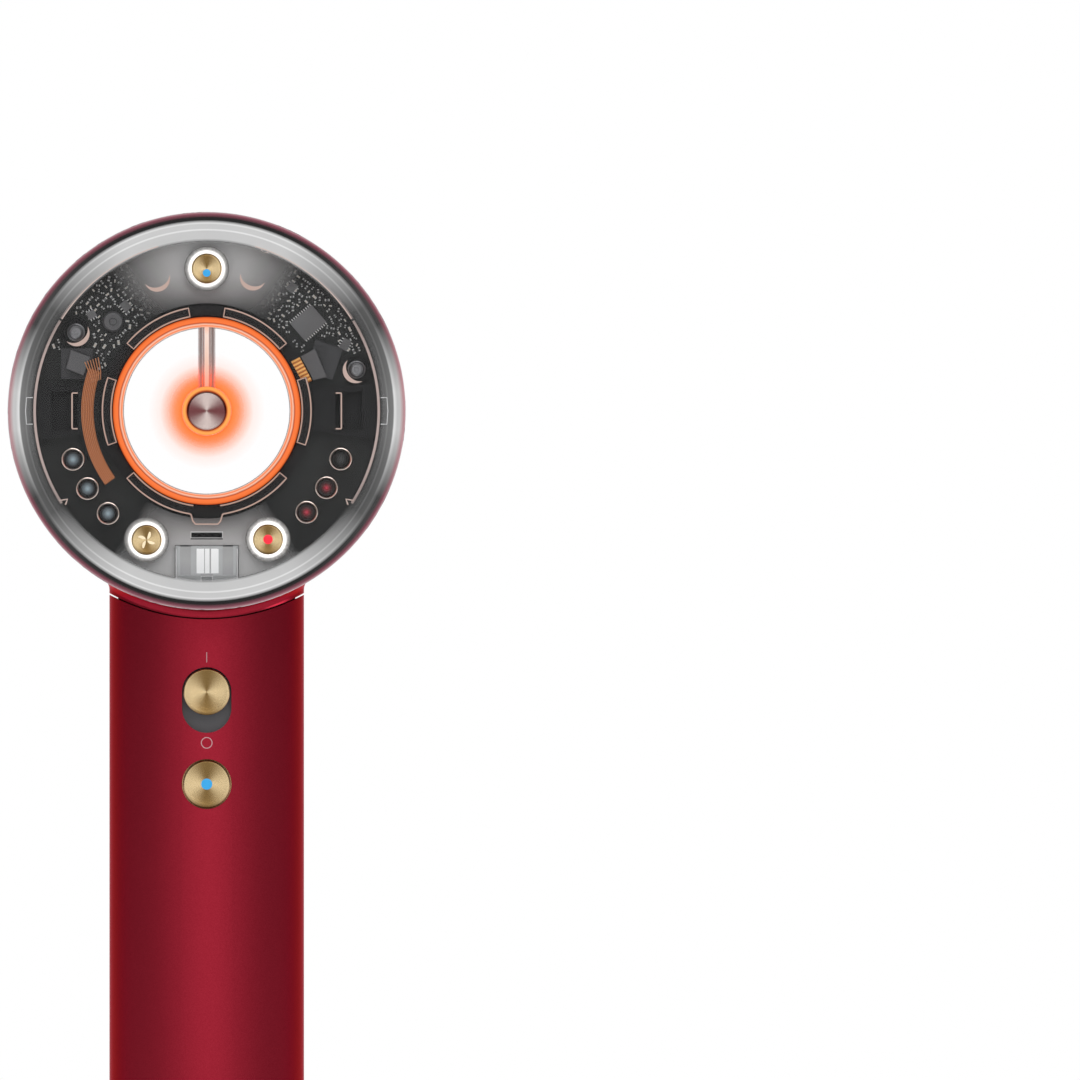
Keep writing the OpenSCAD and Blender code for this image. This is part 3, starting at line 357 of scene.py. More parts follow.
def diffuser(name, middle_angle, half_span, covers, shades):
    """Frosted light spreader, densest in the middle of its arc and fading to clear at its ends. Its colour is
    painted light: brightest in the middle of the arc, dimmer towards the ends and towards the bore.
    """
    material, tree, shader = start_material(name, IOR=1.45, Specular_IOR_Level=0.3)
    split = place_xyz(tree, HEAD_AXIS)
    angle = math_node(tree, "ARCTAN2", split.outputs[0], math_node(
        tree, "MULTIPLY", split.outputs[2], 1.0 if middle_angle == 90 else -1.0))
    away = math_node(tree, "DIVIDE", math_node(tree, "ABSOLUTE", angle), math.radians(half_span))
    radius = math_node(tree, "DIVIDE", radius_from(tree, HEAD_AXIS), BAY_R)
    cloud = spread(tree, grain(tree, 5 * MM, 2.0), -0.04, 0.04)
    place = math_node(tree, "ADD", away, cloud)
    tree.links.new(ramp(tree, place, covers), shader.inputs["Alpha"])
    # Painted light: the frost is darker near the bore and brighter out towards the bay's rim, and dims along
    # the arc from its middle.
    inner = ramp(tree, radius, [(0.62, 0.16), (0.70, 0.40), (0.80, 0.66), (0.95, 0.76)])
    shade = ramp(tree, place, shades)
    tree.links.new(mix_colour(tree, 1.0, inner, shade, "MULTIPLY"), shader.inputs["Base Color"])
    tree.links.new(spread(tree, grain(tree, 0.4 * MM), 0.35, 0.5), shader.inputs["Roughness"])
    return material


def lit(name, stops, centre, inner_r, outer_r, strength=1.0):
    """A glowing part whose colour runs through (share, colour) stops from an inner to an outer radius: a lit
    light guide, or painted light on trim that is no lamp.
    """
    material, tree, shader = start_material(name, Roughness=0.35, Specular_IOR_Level=0.2,
                                            Emission_Strength=strength)
    share = share_between(tree, radius_from(tree, centre), inner_r, outer_r)
    speckle = spread(tree, grain(tree, 1.5 * MM, 2.0), -0.03, 0.03)
    colour = ramp(tree, math_node(tree, "ADD", share, speckle), stops)
    tree.links.new(mix_colour(tree, 1.0, colour, (0.15, 0.15, 0.15), "MULTIPLY"), shader.inputs["Base Color"])
    tree.links.new(colour, shader.inputs["Emission Color"])
    return material


def halo(name, colour, centre, inner_r, outer_r, strength):
    """Thrown light: bright at the inner radius and fading to nothing at the outer."""
    material, tree, shader = start_material(name, Roughness=1.0, Emission_Strength=strength,
                                            Specular_IOR_Level=0.0)
    shader.inputs["Base Color"].default_value = (*colour, 1)
    share = add_node(tree, "ShaderNodeMapRange", {
        "Value": radius_from(tree, centre), "From Min": inner_r, "From Max": outer_r,
        "To Min": 1.0, "To Max": 0.0}).outputs[0]
    tree.links.new(ramp(tree, share, [(0.0, 0.0), (0.35, 0.10), (0.6, 0.40), (0.8, 0.76), (1.0, 0.97)]),
                   shader.inputs["Alpha"])
    tree.links.new(ramp(tree, share, [(0.0, (1.0, 0.28, 0.16)), (0.7, (1.0, 0.14, 0.06)),
                                      (0.93, (0.95, 0.12, 0.03)), (1.0, (0.86, 0.07, 0.012))]),
                   shader.inputs["Emission Color"])
    return material


SPILL_INNER = 2.95 * MM       # where a rear button's bezel ends and its spilt light starts
SPILL_OUTER = 4.5 * MM


def spread_light(name, centre):
    """White light that spills past a button's bezel and fades outwards."""
    material, tree, shader = start_material(name, Roughness=1.0, Specular_IOR_Level=0.0,
                                            Emission_Strength=0.95)
    shader.inputs["Base Color"].default_value = (1, 1, 1, 1)
    shader.inputs["Emission Color"].default_value = (1.0, 0.98, 0.96, 1)
    share = share_between(tree, radius_from(tree, (centre[0], 0, centre[1])), SPILL_INNER, SPILL_OUTER)
    fade = ramp(tree, share, [(0.0, 0.75), (0.20, 0.85), (0.38, 0.42), (0.60, 0.14), (1.0, 0.0)])
    speckle = spread(tree, grain(tree, 0.8 * MM), 0.92, 1.0)
    tree.links.new(math_node(tree, "MULTIPLY", fade, speckle), shader.inputs["Alpha"])
    return material


def striped_flex():
    """The tail of a flex circuit: gilded stripes across it."""
    material, tree, shader = start_material("striped_flex", Metallic=0.6, Roughness=0.35)
    split = place_xyz(tree, HEAD_AXIS)
    along = math_node(tree, "MULTIPLY_ADD", split.outputs[2], -0.883, math_node(
        tree, "MULTIPLY", split.outputs[0], 0.469))
    stripes = math_node(tree, "SINE", math_node(tree, "MULTIPLY", along, 2 * math.pi / (0.75 * MM)))
    shade = math_node(tree, "MULTIPLY_ADD", stripes, 0.5, 0.5)
    colour = mix_colour(tree, shade, (0.42, 0.11, 0.02), (0.92, 0.50, 0.14))
    tree.links.new(colour, shader.inputs["Base Color"])
    tree.links.new(spread(tree, grain(tree, 0.4 * MM), 0.28, 0.44), shader.inputs["Roughness"])
    bump(tree, shader, stripes, 0.02 * MM)
    return material


def circuit_board():
    """Black solder mask with faint copper tracks beneath it."""
    material, tree, shader = start_material("circuit_board", Specular_IOR_Level=0.3)
    tracks = add_node(tree, "ShaderNodeTexBrick", {
        "Vector": object_place(tree), "Scale": 1 / (1.5 * MM), "Mortar Size": 0.035,
        "Color1": (0, 0, 0, 1), "Color2": (0.15, 0.15, 0.15, 1), "Mortar": (1, 1, 1, 1)})
    vias = add_node(tree, "ShaderNodeTexVoronoi", {
        "Vector": object_place(tree), "Scale": 1 / (1.4 * MM)}).outputs["Distance"]
    via = ramp(tree, vias, [(0.0, 1.0), (0.16, 1.0), (0.19, 0.0)])
    mask = mix_colour(tree, tracks.outputs["Color"], (0.008, 0.009, 0.009), (0.018, 0.020, 0.019))
    tree.links.new(mix_colour(tree, via, mask, (0.016, 0.016, 0.015)), shader.inputs["Base Color"])
    tree.links.new(spread(tree, grain(tree, 0.6 * MM), 0.25, 0.45), shader.inputs["Roughness"])
    bump(tree, shader, tracks.outputs["Color"], 0.001 * MM)
    return material


def flex_copper():
    """Copper flex circuit: fine tracks that run along the ribbon's arc."""
    material, tree, shader = start_material("flex_copper", Metallic=0.45, Specular_IOR_Level=0.3)
    radius = radius_from(tree, HEAD_AXIS)
    lines = math_node(tree, "SINE", math_node(tree, "MULTIPLY", radius, 2 * math.pi / (0.34 * MM)))
    shade = math_node(tree, "MULTIPLY_ADD", lines, 0.5, 0.5)
    tree.links.new(mix_colour(tree, shade, (0.34, 0.10, 0.035), (0.62, 0.25, 0.11)),
                   shader.inputs["Base Color"])
    tree.links.new(spread(tree, grain(tree, 0.5 * MM), 0.3, 0.5), shader.inputs["Roughness"])
    bump(tree, shader, lines, 0.02 * MM)
    return material


def woven_mesh():
    """Fine woven filter wire, round the handle's axis."""
    material, tree, shader = start_material("woven_mesh", Metallic=0.9, Roughness=0.4)
    weave = add_node(tree, "ShaderNodeTexBrick", {
        "Vector": object_place(tree), "Scale": 1 / (0.7 * MM), "Mortar Size": 0.12,
        "Color1": (0.02, 0.02, 0.02, 1), "Color2": (0.03, 0.03, 0.03, 1),
        "Mortar": (0.35, 0.35, 0.36, 1)})
    tree.links.new(weave.outputs["Color"], shader.inputs["Base Color"])
    bump(tree, shader, weave.outputs["Fac"], 0.1 * MM)
    return material


# ---- Mesh helpers ----

def new_piece(name, bm, materials, body, sharp=math.radians(35)):
    """Turns a bmesh into a smooth-shaded object that rides on a body."""
    bmesh.ops.recalc_face_normals(bm, faces=bm.faces)
    mesh = bpy.data.meshes.new(name)
    bm.to_mesh(mesh)
    bm.free()
    mesh.shade_smooth()
    mesh.set_sharp_from_angle(angle=sharp)
    for material in materials:
        mesh.materials.append(material)
    piece = bpy.data.objects.new(name, mesh)
    bpy.context.collection.objects.link(piece)
    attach(piece, body)
    return piece


def loft(bm, rings, closed_rings=True, material_index=0):
    """Skins a list of rings of points. A ring of one point closes the form."""
    made = [[bm.verts.new(p) for p in ring] for ring in rings]
    for lower, upper in zip(made, made[1:]):
        count = max(len(lower), len(upper))
        for i in range(count if closed_rings else count - 1):
            j = (i + 1) % count
            corners = [lower[i % len(lower)], lower[j % len(lower)],
                       upper[j % len(upper)], upper[i % len(upper)]]
            distinct = list(dict.fromkeys(corners))
            if len(distinct) > 2:
                bm.faces.new(distinct).material_index = material_index
    return made


def ring_y(centre, radius, y, steps):
    """Points round a line along Y."""
    if radius < 1e-7:
        return [Vector((centre[0], y, centre[1]))]
    return [Vector((centre[0] + radius * math.cos(2 * math.pi * i / steps), y,
                    centre[1] + radius * math.sin(2 * math.pi * i / steps))) for i in range(steps)]


def lathe_y(name, profile, centre, material, body, steps=96):
    """A form turned round a line along Y, from (radius, y) points."""
    bm = bmesh.new()
    loft(bm, [ring_y(centre, r, y, steps) for r, y in profile])
    return new_piece(name, bm, [material], body)


def polar(angle, radius):
    """A place in the bay as x and z, from an angle seen from behind."""
    a = math.radians(angle)
    return radius * math.cos(a), HEAD_Z + radius * math.sin(a)


def tube_piece(name, points, radius, material, body="root", closed=False):
    """A thin round wire through points."""
    curve = bpy.data.curves.new(name, "CURVE")
    curve.dimensions = "3D"
    curve.bevel_depth = radius
    curve.bevel_resolution = 3
    spline = curve.splines.new("POLY")
    spline.points.add(len(points) - 1)
    for target, point in zip(spline.points, points):
        target.co = (*point, 1)
    spline.use_cyclic_u = closed
    curve.materials.append(material)
    piece = bpy.data.objects.new(name, curve)
    bpy.context.collection.objects.link(piece)
    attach(piece, body)
    return piece


# ---- Materials by node ----

RED = satin_red()
CLEAR = clear_part("clear_plastic", (0.62, 0.64, 0.65), 0.72)
DARK = moulded("dark_plastic", (0.008, 0.008, 0.009), 0.42, depth=0.0015 * MM, Specular_IOR_Level=0.2)
# A red darker than the shell's: partly the coupler's own red, partly painted shade for the narrow seam that
# it shows through.
NECK_RED = moulded("neck_red", (0.11, 0.006, 0.010), 0.5, Specular_IOR_Level=0.2)
ROSE = moulded("rose_trim", (0.80, 0.60, 0.55), 0.28, depth=0.002 * MM)
STEEL = machined("steel", (0.42, 0.42, 0.44))
DARK_STEEL = machined("dark_steel", (0.10, 0.10, 0.11), 0.35)
BOARD = circuit_board()
PASSIVE = moulded("passive_ceramic", (0.55, 0.50, 0.44), 0.4)
CHIP = moulded("chip_resin", (0.030, 0.030, 0.034), 0.38, texture=0.1 * MM)

# Lit plastic, from its palest to its deepest
LIT_PALE = (0.95, 0.55, 0.40)
LIT_AMBER = (0.95, 0.37, 0.08)
LIT_ORANGE = (0.90, 0.18, 0.04)
LIT_DEEP = (0.45, 0.06, 0.01)

NODE_MATERIALS = {
    RED: ["head_shell", "handle_shell", "filter_cage"],
    clear_window(): ["rear_lens"],
    CLEAR: ["light_block"],
    strut_plastic(): ["capsule_strut"],
    diffuser("top_frost", 90, 37, [(0.0, 0.94), (0.40, 0.90), (0.62, 0.72), (0.80, 0.45), (0.98, 0.0)],
             [(0.0, 1.0), (0.27, 0.90), (0.55, 0.64), (0.80, 0.40), (1.0, 0.24)]): ["top_diffuser"],
    diffuser("bottom_frost", 270, 34, [(0.0, 0.95), (0.66, 0.90), (0.84, 0.55), (0.99, 0.0)],
             [(0.0, 1.0), (0.60, 0.94), (0.85, 0.80), (1.0, 0.60)]): ["bottom_diffuser"],
    DARK: ["bore_collar", "bay_wall", "rear_bulkhead", "left_window_carrier", "right_window_carrier",
           "inner_trim_arcs", "screw_cups", "outlet_funnel", "intake_frame", "end_cap"],
    moulded("slot_grey", (0.13, 0.135, 0.145), 0.45): ["slider_carriage"],
    moulded("seal_rubber", (0.008, 0.009, 0.009), 0.6, Specular_IOR_Level=0.2): ["lens_seal"],
    NECK_RED: ["neck_coupler"],
    moulded("bore_plastic", (0.62, 0.62, 0.63), 0.35): ["bore_tube", "capsule_body"],
    lit("glow_orange", [(0.0, LIT_PALE), (0.14, LIT_ORANGE), (0.26, LIT_PALE), (0.42, LIT_DEEP),
                        (0.52, LIT_ORANGE), (0.82, LIT_ORANGE), (1.0, LIT_DEEP)],
        HEAD_AXIS, GLOW_R - 2 * MM, GLOW_R, 0.94): ["glow_ring"],
    lit("glow_amber", [(0.0, LIT_DEEP), (0.4, LIT_AMBER), (0.8, LIT_AMBER), (1.0, LIT_ORANGE)],
        HEAD_AXIS, CAPSULE_R, CAPSULE_R + 0.9 * MM, 0.94): ["capsule_glow_ring"],
    moulded("bezel_white", (0.11, 0.105, 0.10), 0.4, Specular_IOR_Level=0.25): ["button_bezels"],
    lit("pipe_light", [(0.0, (1.0, 0.35, 0.22)), (0.45, (0.92, 0.62, 0.50)), (0.75, (0.95, 0.75, 0.66)),
                       (1.0, (1.0, 0.40, 0.20))],
        HEAD_AXIS, CAPSULE_R, GLOW_R, 0.85): ["strut_light_pipe"],
    spun_metal("spun_rose", (0.74, 0.62, 0.58), (0.15, 0.028, 0.034), HEAD_AXIS, 90): ["capsule_lens"],
    BOARD: ["main_board", "control_board", "motor_board"],
    CHIP: ["board_chips", "flex_connectors", "ionizer"],
    PASSIVE: ["board_passives"],
    flex_copper(): ["flex_ribbon"],
    machined("copper_winding", (0.60, 0.26, 0.11)): ["stator_coils"],
    # Painted light: the outer trim arcs glow, though they are no lamp.
    lit("lit_trim", [(0.0, (0.52, 0.40, 0.37)), (1.0, (0.56, 0.44, 0.41))], HEAD_AXIS, 0, HEAD_R, 0.75):
        ["outer_trim_arcs"],
    ROSE: ["indicator_bezels"],
    STEEL: ["button_switches", "stator_core", "rotor"],
    DARK_STEEL: ["board_screws", "attachment_magnets"],
    moulded("dark_glass", (0.015, 0.018, 0.022), 0.12, Coat_Weight=1.0): ["indicator_lights"],
    moulded("mica_sheet", (0.50, 0.41, 0.27), 0.45, texture=1.2 * MM, vary=0.3):
        ["heater_frame", "heater_sleeve"],
    machined("heating_wire", (0.20, 0.19, 0.19), 0.5): ["heater_coils"],
    moulded("white_ceramic", (0.78, 0.78, 0.76), 0.3): ["thermal_cutoff"],
    machined("satin_aluminium", (0.62, 0.63, 0.65), 0.28):
        ["attachment_ring", "motor_frame", "impeller"],
    moulded("motor_rubber", (0.05, 0.05, 0.055), 0.65): ["motor_sleeve"],
    moulded("lead_insulation", (0.60, 0.58, 0.54), 0.5): ["supply_leads"],
    woven_mesh(): ["filter_mesh"],
}


def paint_nodes():
    """Gives every carried-over CAD node its material."""
    for material, names in NODE_MATERIALS.items():
        for name in names:
            node = frame["nodes"][name]
            node.data.materials.clear()
            node.data.materials.append(material)


paint_nodes()


# ---- Buttons and slider ----

def gold(name, centre):
    return spun_metal(name, (0.86, 0.66, 0.37), (0.20, 0.115, 0.034), centre, 0)


def turned_piece(node, body, sections, dish=0.10 * MM):
    """Spun gold from the face inwards: a dished face with a rolled lip, then (radius, length) sections.

    The last section runs on to the inner end of the CAD node, which this stands for.
    """
    lo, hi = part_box(node)
    centre = ((lo.x + hi.x) / 2, (lo.z + hi.z) / 2)
    face = lo.y
    lip = 0.28 * MM
    cap_r = sections[0][0]
    inner = cap_r - 2.2 * lip
    profile = [(0, face + dish), (inner * 0.35, face + dish * 0.94), (inner * 0.7, face + dish * 0.7),
               (inner, face + dish * 0.15), (inner + 0.3 * lip, face)]
    profile += [(cap_r - lip + lip * math.sin(a), face + lip - lip * math.cos(a))
                for a in (math.radians(d) for d in range(0, 91, 15))]
    y = face
    for radius, length in sections[:-1]:
        profile.append((radius, y + length) if y == face else (radius, y))
        if y != face:
            profile.append((radius, y + length))
        y += length
    last_r = sections[-1][0]
    profile += [(last_r, y), (last_r, hi.y), (0, hi.y)]
    piece = lathe_y(node + "_cap", profile, centre, gold(node + "_gold", (centre[0], 0, centre[1])), body)
    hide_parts(node)
    return centre, face + dish


def disc_mark(name, centre, y, radius, material, body, height=0.09 * MM):
    """A small domed inlay."""
    profile = [(radius, y + 0.2 * MM)]
    profile += [(radius * math.cos(math.radians(d)), y - height * math.sin(math.radians(d)))
                for d in range(0, 91, 18)]
    piece = lathe_y(name, profile, centre, material, body, 40)
    return piece


def fan_mark(centre, y, material, body):
    """Four curved blades round a hub, raised a little from the button's face."""
    bm = bmesh.new()
    for k in range(4):
        turn = math.radians(90 * k + 45)
        outline = []
        for side in (-1, 1):
            steps = [0.25, 0.6, 1.0, 1.4, 1.75]
            for r in (steps if side < 0 else reversed(steps)):
                half = 0.30 * math.sin(math.pi * (r - 0.1) / 1.9)
                a = turn + 0.22 * r + side * half / max(r, 0.5)
                outline.append((centre[0] + r * MM * math.cos(a), centre[1] + r * MM * math.sin(a)))
        low = [bm.verts.new((x, y + 0.1 * MM, z)) for x, z in outline]
        top = [bm.verts.new((x, y - 0.04 * MM, z)) for x, z in outline]
        bm.faces.new(top)
        for i in range(len(low)):
            j = (i + 1) % len(low)
            bm.faces.new((low[i], low[j], top[j], top[i]))
    new_piece("airflow_fan_mark", bm, [material], body)


# The marks glow a little through emission: painted light that keeps them evenly bright.
BLUE_GLOW = moulded("blue_mark", (0.02, 0.30, 0.62), 0.3, Emission_Strength=0.35,
               Emission_Color=(0.02, 0.35, 0.75))
RED_GLOW_MARK = moulded("red_mark", (0.75, 0.01, 0.03), 0.3, Emission_Strength=0.5,
                   Emission_Color=(0.9, 0.01, 0.03))
PALE_GOLD_GLOW = moulded("pale_gold", (0.88, 0.74, 0.50), 0.3, Emission_Strength=0.25,
                    Emission_Color=(0.90, 0.75, 0.50))

REAR_BUTTON = [(2.9 * MM, 2.55 * MM), (3.4 * MM, 0.6 * MM), (1.2 * MM, 0)]
SLIDER_R = (slider_hi.x - slider_lo.x) / 2

mode_centre, mode_face = turned_piece("mode_button", "mode_button", REAR_BUTTON)
disc_mark("mode_dot", (mode_centre[0], mode_centre[1] - 0.9 * MM), mode_face, 0.78 * MM, BLUE_GLOW, "mode_button")
air_centre, air_face = turned_piece("airflow_button", "airflow_button", REAR_BUTTON)
fan_mark(air_centre, air_face, PALE_GOLD_GLOW, "airflow_button")
heat_centre, heat_face = turned_piece("heat_button", "heat_button", REAR_BUTTON)
disc_mark("heat_dot", heat_centre, heat_face, 0.95 * MM, RED_GLOW_MARK, "heat_button")
cool_centre, cool_face = turned_piece("cool_shot_button", "cool_shot_button",
                                      [(4.6 * MM, 2.8 * MM), (4.0 * MM, 0.62 * MM), (5.6 * MM, 0)])
disc_mark("cool_shot_dot", cool_centre, cool_face, 1.1 * MM, BLUE_GLOW, "cool_shot_button")
turned_piece("power_slider", "power_slider", [(SLIDER_R, 3.2 * MM), (SLIDER_R - 1.2 * MM, 0)], 0.16 * MM)


# ---- Details in the bay ----

LIGHT_R = mode_centre[1] - HEAD_Z
# Places in the bay as an angle in degrees, the screws' with a radius in mm
LIGHT_ANGLES = (199.9, 213.1, 226.1, 340.2, 327.3, 314.6)
SCREW_PLACES = ((149, 29.9), (15.4, 30.5), (110.6, 27.9), (70.9, 27.9))
COPPER_LINE = machined("copper_track", (0.78, 0.38, 0.20))
STRIPED = striped_flex()

# Painted light: a glowing pale colour along the edges of trim, hooks, brackets, window arcs and screw cups,
# standing for the light they catch.
PAINTED_EDGE_LIGHT = lit("trim_edge_light", [(0.0, (0.50, 0.33, 0.27)), (1.0, (0.60, 0.47, 0.42))], HEAD_AXIS,
           GLOW_R, BAY_R, 0.85)
# Painted highlights: faintly glowing pale lines along the edges of clear parts.
GLASS_EDGE_HIGHLIGHT = moulded("glass_edge", (0.66, 0.66, 0.67), 0.25, depth=0.002 * MM, Emission_Strength=0.08,
                     Emission_Color=(0.9, 0.9, 0.92))
SILVER = machined("bright_solder", (0.62, 0.62, 0.61), 0.4)
SCREW = machined("blackened_screw", (0.26, 0.26, 0.27), 0.3)
RIM = machined("rose_metal", (0.95, 0.80, 0.72), 0.18)
GRAPHITE = moulded("graphite_resin", (0.10, 0.10, 0.105), 0.32, texture=0.15 * MM)
CHIP_TOP = moulded("chip_lid", (0.13, 0.13, 0.135), 0.35, texture=0.12 * MM, vary=0.3)


def bay(x, z):
    """A place given in mm from the head's axis, seen from behind."""
    return x * MM, HEAD_Z + z * MM


def wire(name, places, y, radius, material, closed=False):
    piece = tube_piece(name, [Vector((x, y, z)) for x, z in places], radius, material, "root", closed)
    return piece


def arc_places(start, end, radius, step=2.0):
    count = max(2, int(abs(end - start) / step) + 1)
    return [polar(start + (end - start) * i / (count - 1), radius) for i in range(count)]


def plate(name, places, y_out, y_in, material, edge=0.1 * MM):
    """A flat plate with chamfered edges, from an outline in the bay."""
    middle = (sum(p[0] for p in places) / len(places), sum(p[1] for p in places) / len(places))

    def shrink(amount):
        ring = []
        for x, z in places:
            away = Vector((x - middle[0], z - middle[1]))
            near = away * max(0, 1 - amount / max(away.length, 1e-6))
            ring.append((middle[0] + near.x, middle[1] + near.y))
        return ring

    bm = bmesh.new()
    rings = [[Vector((middle[0], y_out, middle[1]))], [Vector((x, y_out, z)) for x, z in shrink(edge)],
             [Vector((x, y_out + edge, z)) for x, z in places], [Vector((x, y_in, z)) for x, z in places],
             [Vector((middle[0], y_in, middle[1]))]]
    loft(bm, rings)
    piece = new_piece(name, bm, [material], "root", math.radians(25))
    return piece


def turned_box(bm, place, y_out, y_in, length, width, turn, index=0):
    """A small block in the bay, `turn` degrees round from the X axis."""
    a = math.radians(turn)
    along, across = Vector((math.cos(a), math.sin(a))), Vector((-math.sin(a), math.cos(a)))
    corners = [Vector(place) + along * sx * length / 2 + across * sz * width / 2
               for sx, sz in ((-1, -1), (1, -1), (1, 1), (-1, 1))]
    low = [bm.verts.new((c.x, y_in, c.y)) for c in corners]
    top = [bm.verts.new((c.x, y_out, c.y)) for c in corners]
    faces = [bm.faces.new(top)]
    faces += [bm.faces.new((low[i], low[(i + 1) % 4], top[(i + 1) % 4], top[i])) for i in range(4)]
    for face in faces:
        face.material_index = index


def trim_outlines():
    """Glowing pale lines round the segments of inner trim, and the notch at the bottom: painted highlights on
    their edges.
    """
    y = trim_lo.y - 0.02 * MM
    inside, outside = GLOW_R + 0.35 * MM, COLLAR_R - 0.35 * MM
    spans = [(99.6, 140.2), (160.9, 199.6), (39.8, 80.4), (-19.6, 19.1)]
    for k, (start, end) in enumerate(spans):
        places = arc_places(start + 0.5, end - 0.5, inside) + arc_places(end - 0.5, start + 0.5, outside)
        wire(f"trim_outline_{k + 1}", places, y, 0.15 * MM, PAINTED_EDGE_LIGHT, True)
    notch = [bay(-3.1, -20.3), bay(-2.7, -21.6), bay(-2.2, -22.2), bay(2.2, -22.2), bay(2.7, -21.6),
             bay(3.1, -20.3)]
    places = arc_places(262, 220.2, inside) + arc_places(220.2, 260.5, outside) + notch
    places += arc_places(279.5, 319.8, outside) + arc_places(319.8, 278, inside)
    wire("trim_outline_5", places, y, 0.15 * MM, PAINTED_EDGE_LIGHT)


def arc_hooks():
    """Small hooks at the ends of the outer trim arcs, drawn in the glowing pale edge colour."""
    y = arc_lo.y - 0.05 * MM
    for side in (-1, 1):
        x, z = (11.6 if side > 0 else 9.6), 31.1
        if side > 0:
            places = [bay(x + 0.5, z), bay(x - 0.7, z - 0.2), bay(x - 0.9, z + 1.4), bay(x - 1.7, z + 1.2)]
            wire("arc_hook_top", places, y, 0.16 * MM, PAINTED_EDGE_LIGHT)
        low = [bay(side * 28.9, -17.6), bay(side * 27.3, -17.3), bay(side * 27.7, -18.4)]
        wire(f"arc_hook_low_{'left' if side < 0 else 'right'}", low, y, 0.16 * MM, PAINTED_EDGE_LIGHT)


def window_brackets():
    """Pale brackets in the two side windows, and the window's own clips, drawn as glowing lines: painted
    highlights.
    """
    y = trim_lo.y + 1.6 * MM
    for side, name in ((-1, "left"), (1, "right")):
        x = side * 26.4
        places = [bay(x - side * 1.1, 3.5), bay(x - side * 0.1, 3.5), bay(x, 3.3), bay(x, -3.3),
                  bay(x - side * 0.1, -3.5), bay(x - side * 1.1, -3.5)]
        wire(f"window_bracket_{name}", places, y, 0.15 * MM, PAINTED_EDGE_LIGHT)
        x = side * 35.3
        places = [bay(side * 34.1, 2.6), bay(x, 2.6), bay(x + side * 0.2, 0), bay(x, -2.6),
                  bay(side * 34.1, -2.6)]
        wire(f"clip_line_{name}", places, LENS_FACE + 0.07 * MM, 0.1 * MM, GLASS_EDGE_HIGHLIGHT)
        # Painted highlights: pale lines along the window's arcs.
        start, end = (106.4, 147.6) if side < 0 else (73.6, 32.4)
        wire(f"arc_edge_line_{name}", arc_places(start, end, 33.6 * MM), LENS_FACE + 0.06 * MM, 0.1 * MM,
             PAINTED_EDGE_LIGHT)


def light_guide_lines():
    """Painted highlights along the edges of the slot above the clear block, and of the block's ribs."""
    y = block_lo.y - 0.03 * MM
    slot = [bay(-3.1, -23.7), bay(3.1, -23.7), bay(3.1, -24.9), bay(-3.1, -24.9)]
    wire("diffuser_slot_line", slot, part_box("bottom_diffuser")[0].y - 0.02 * MM, 0.11 * MM, GLASS_EDGE_HIGHLIGHT,
         True)
    for side in (-1, 1):
        places = [bay(side * 6.0, -27.0), bay(side * 6.0, -32.9)]
        wire(f"block_rib_line_{'left' if side < 0 else 'right'}", places, y, 0.12 * MM, GLASS_EDGE_HIGHLIGHT)
    places = [bay(-1.1, -33.6), bay(-1.1, -32.4), bay(1.1, -32.4), bay(1.1, -33.6)]
    wire("block_foot_line", places, y, 0.1 * MM, GLASS_EDGE_HIGHLIGHT)


def light_guide_bars():
    """Bright bars of light in the clear block."""
    white = lit("light_bar", [(0.0, (1.0, 1.0, 1.0)), (1.0, (0.80, 0.81, 0.82))], HEAD_AXIS,
                26 * MM, 33 * MM, 0.75)
    y = block_lo.y - 0.02 * MM
    soft = lit("soft_light", [(0.0, (0.30, 0.30, 0.30)), (0.5, (0.34, 0.34, 0.34)),
                              (1.0, (0.27, 0.27, 0.28))], HEAD_AXIS, 26 * MM, 33 * MM, 0.9)
    places = [bay(-5.7, -26.6), bay(5.7, -26.6), bay(5.7, -32.3), bay(-5.7, -32.3)]
    plate("light_block_glow", places, y + 0.45 * MM, y + 0.6 * MM, soft)
    for k, (x, half) in enumerate([(-1.25, 0.75), (0.1, 0.45), (1.6, 0.75)]):
        places = [bay(x - half, -27.0), bay(x + half, -27.0), bay(x + half, -31.9), bay(x - half, -31.9)]
        plate(f"light_bar_{k + 1}", places, y, y + 0.25 * MM, white)


# Stretches of the board, in degrees, that hold small parts
PASSIVE_SPANS = [(22, 66), (118, 158)]
# Places that small parts keep clear of: x, z and radius in mm from the head's axis
KEEP_CLEAR = [(-25.7, 15.5, 3.6), (29.5, 8.1, 3.6), (19.8, 17.3, 3.9), (-18.4, 17.5, 2.7), (-25.5, 9.3, 4.6),
              (23.0, 10.0, 4.6)]


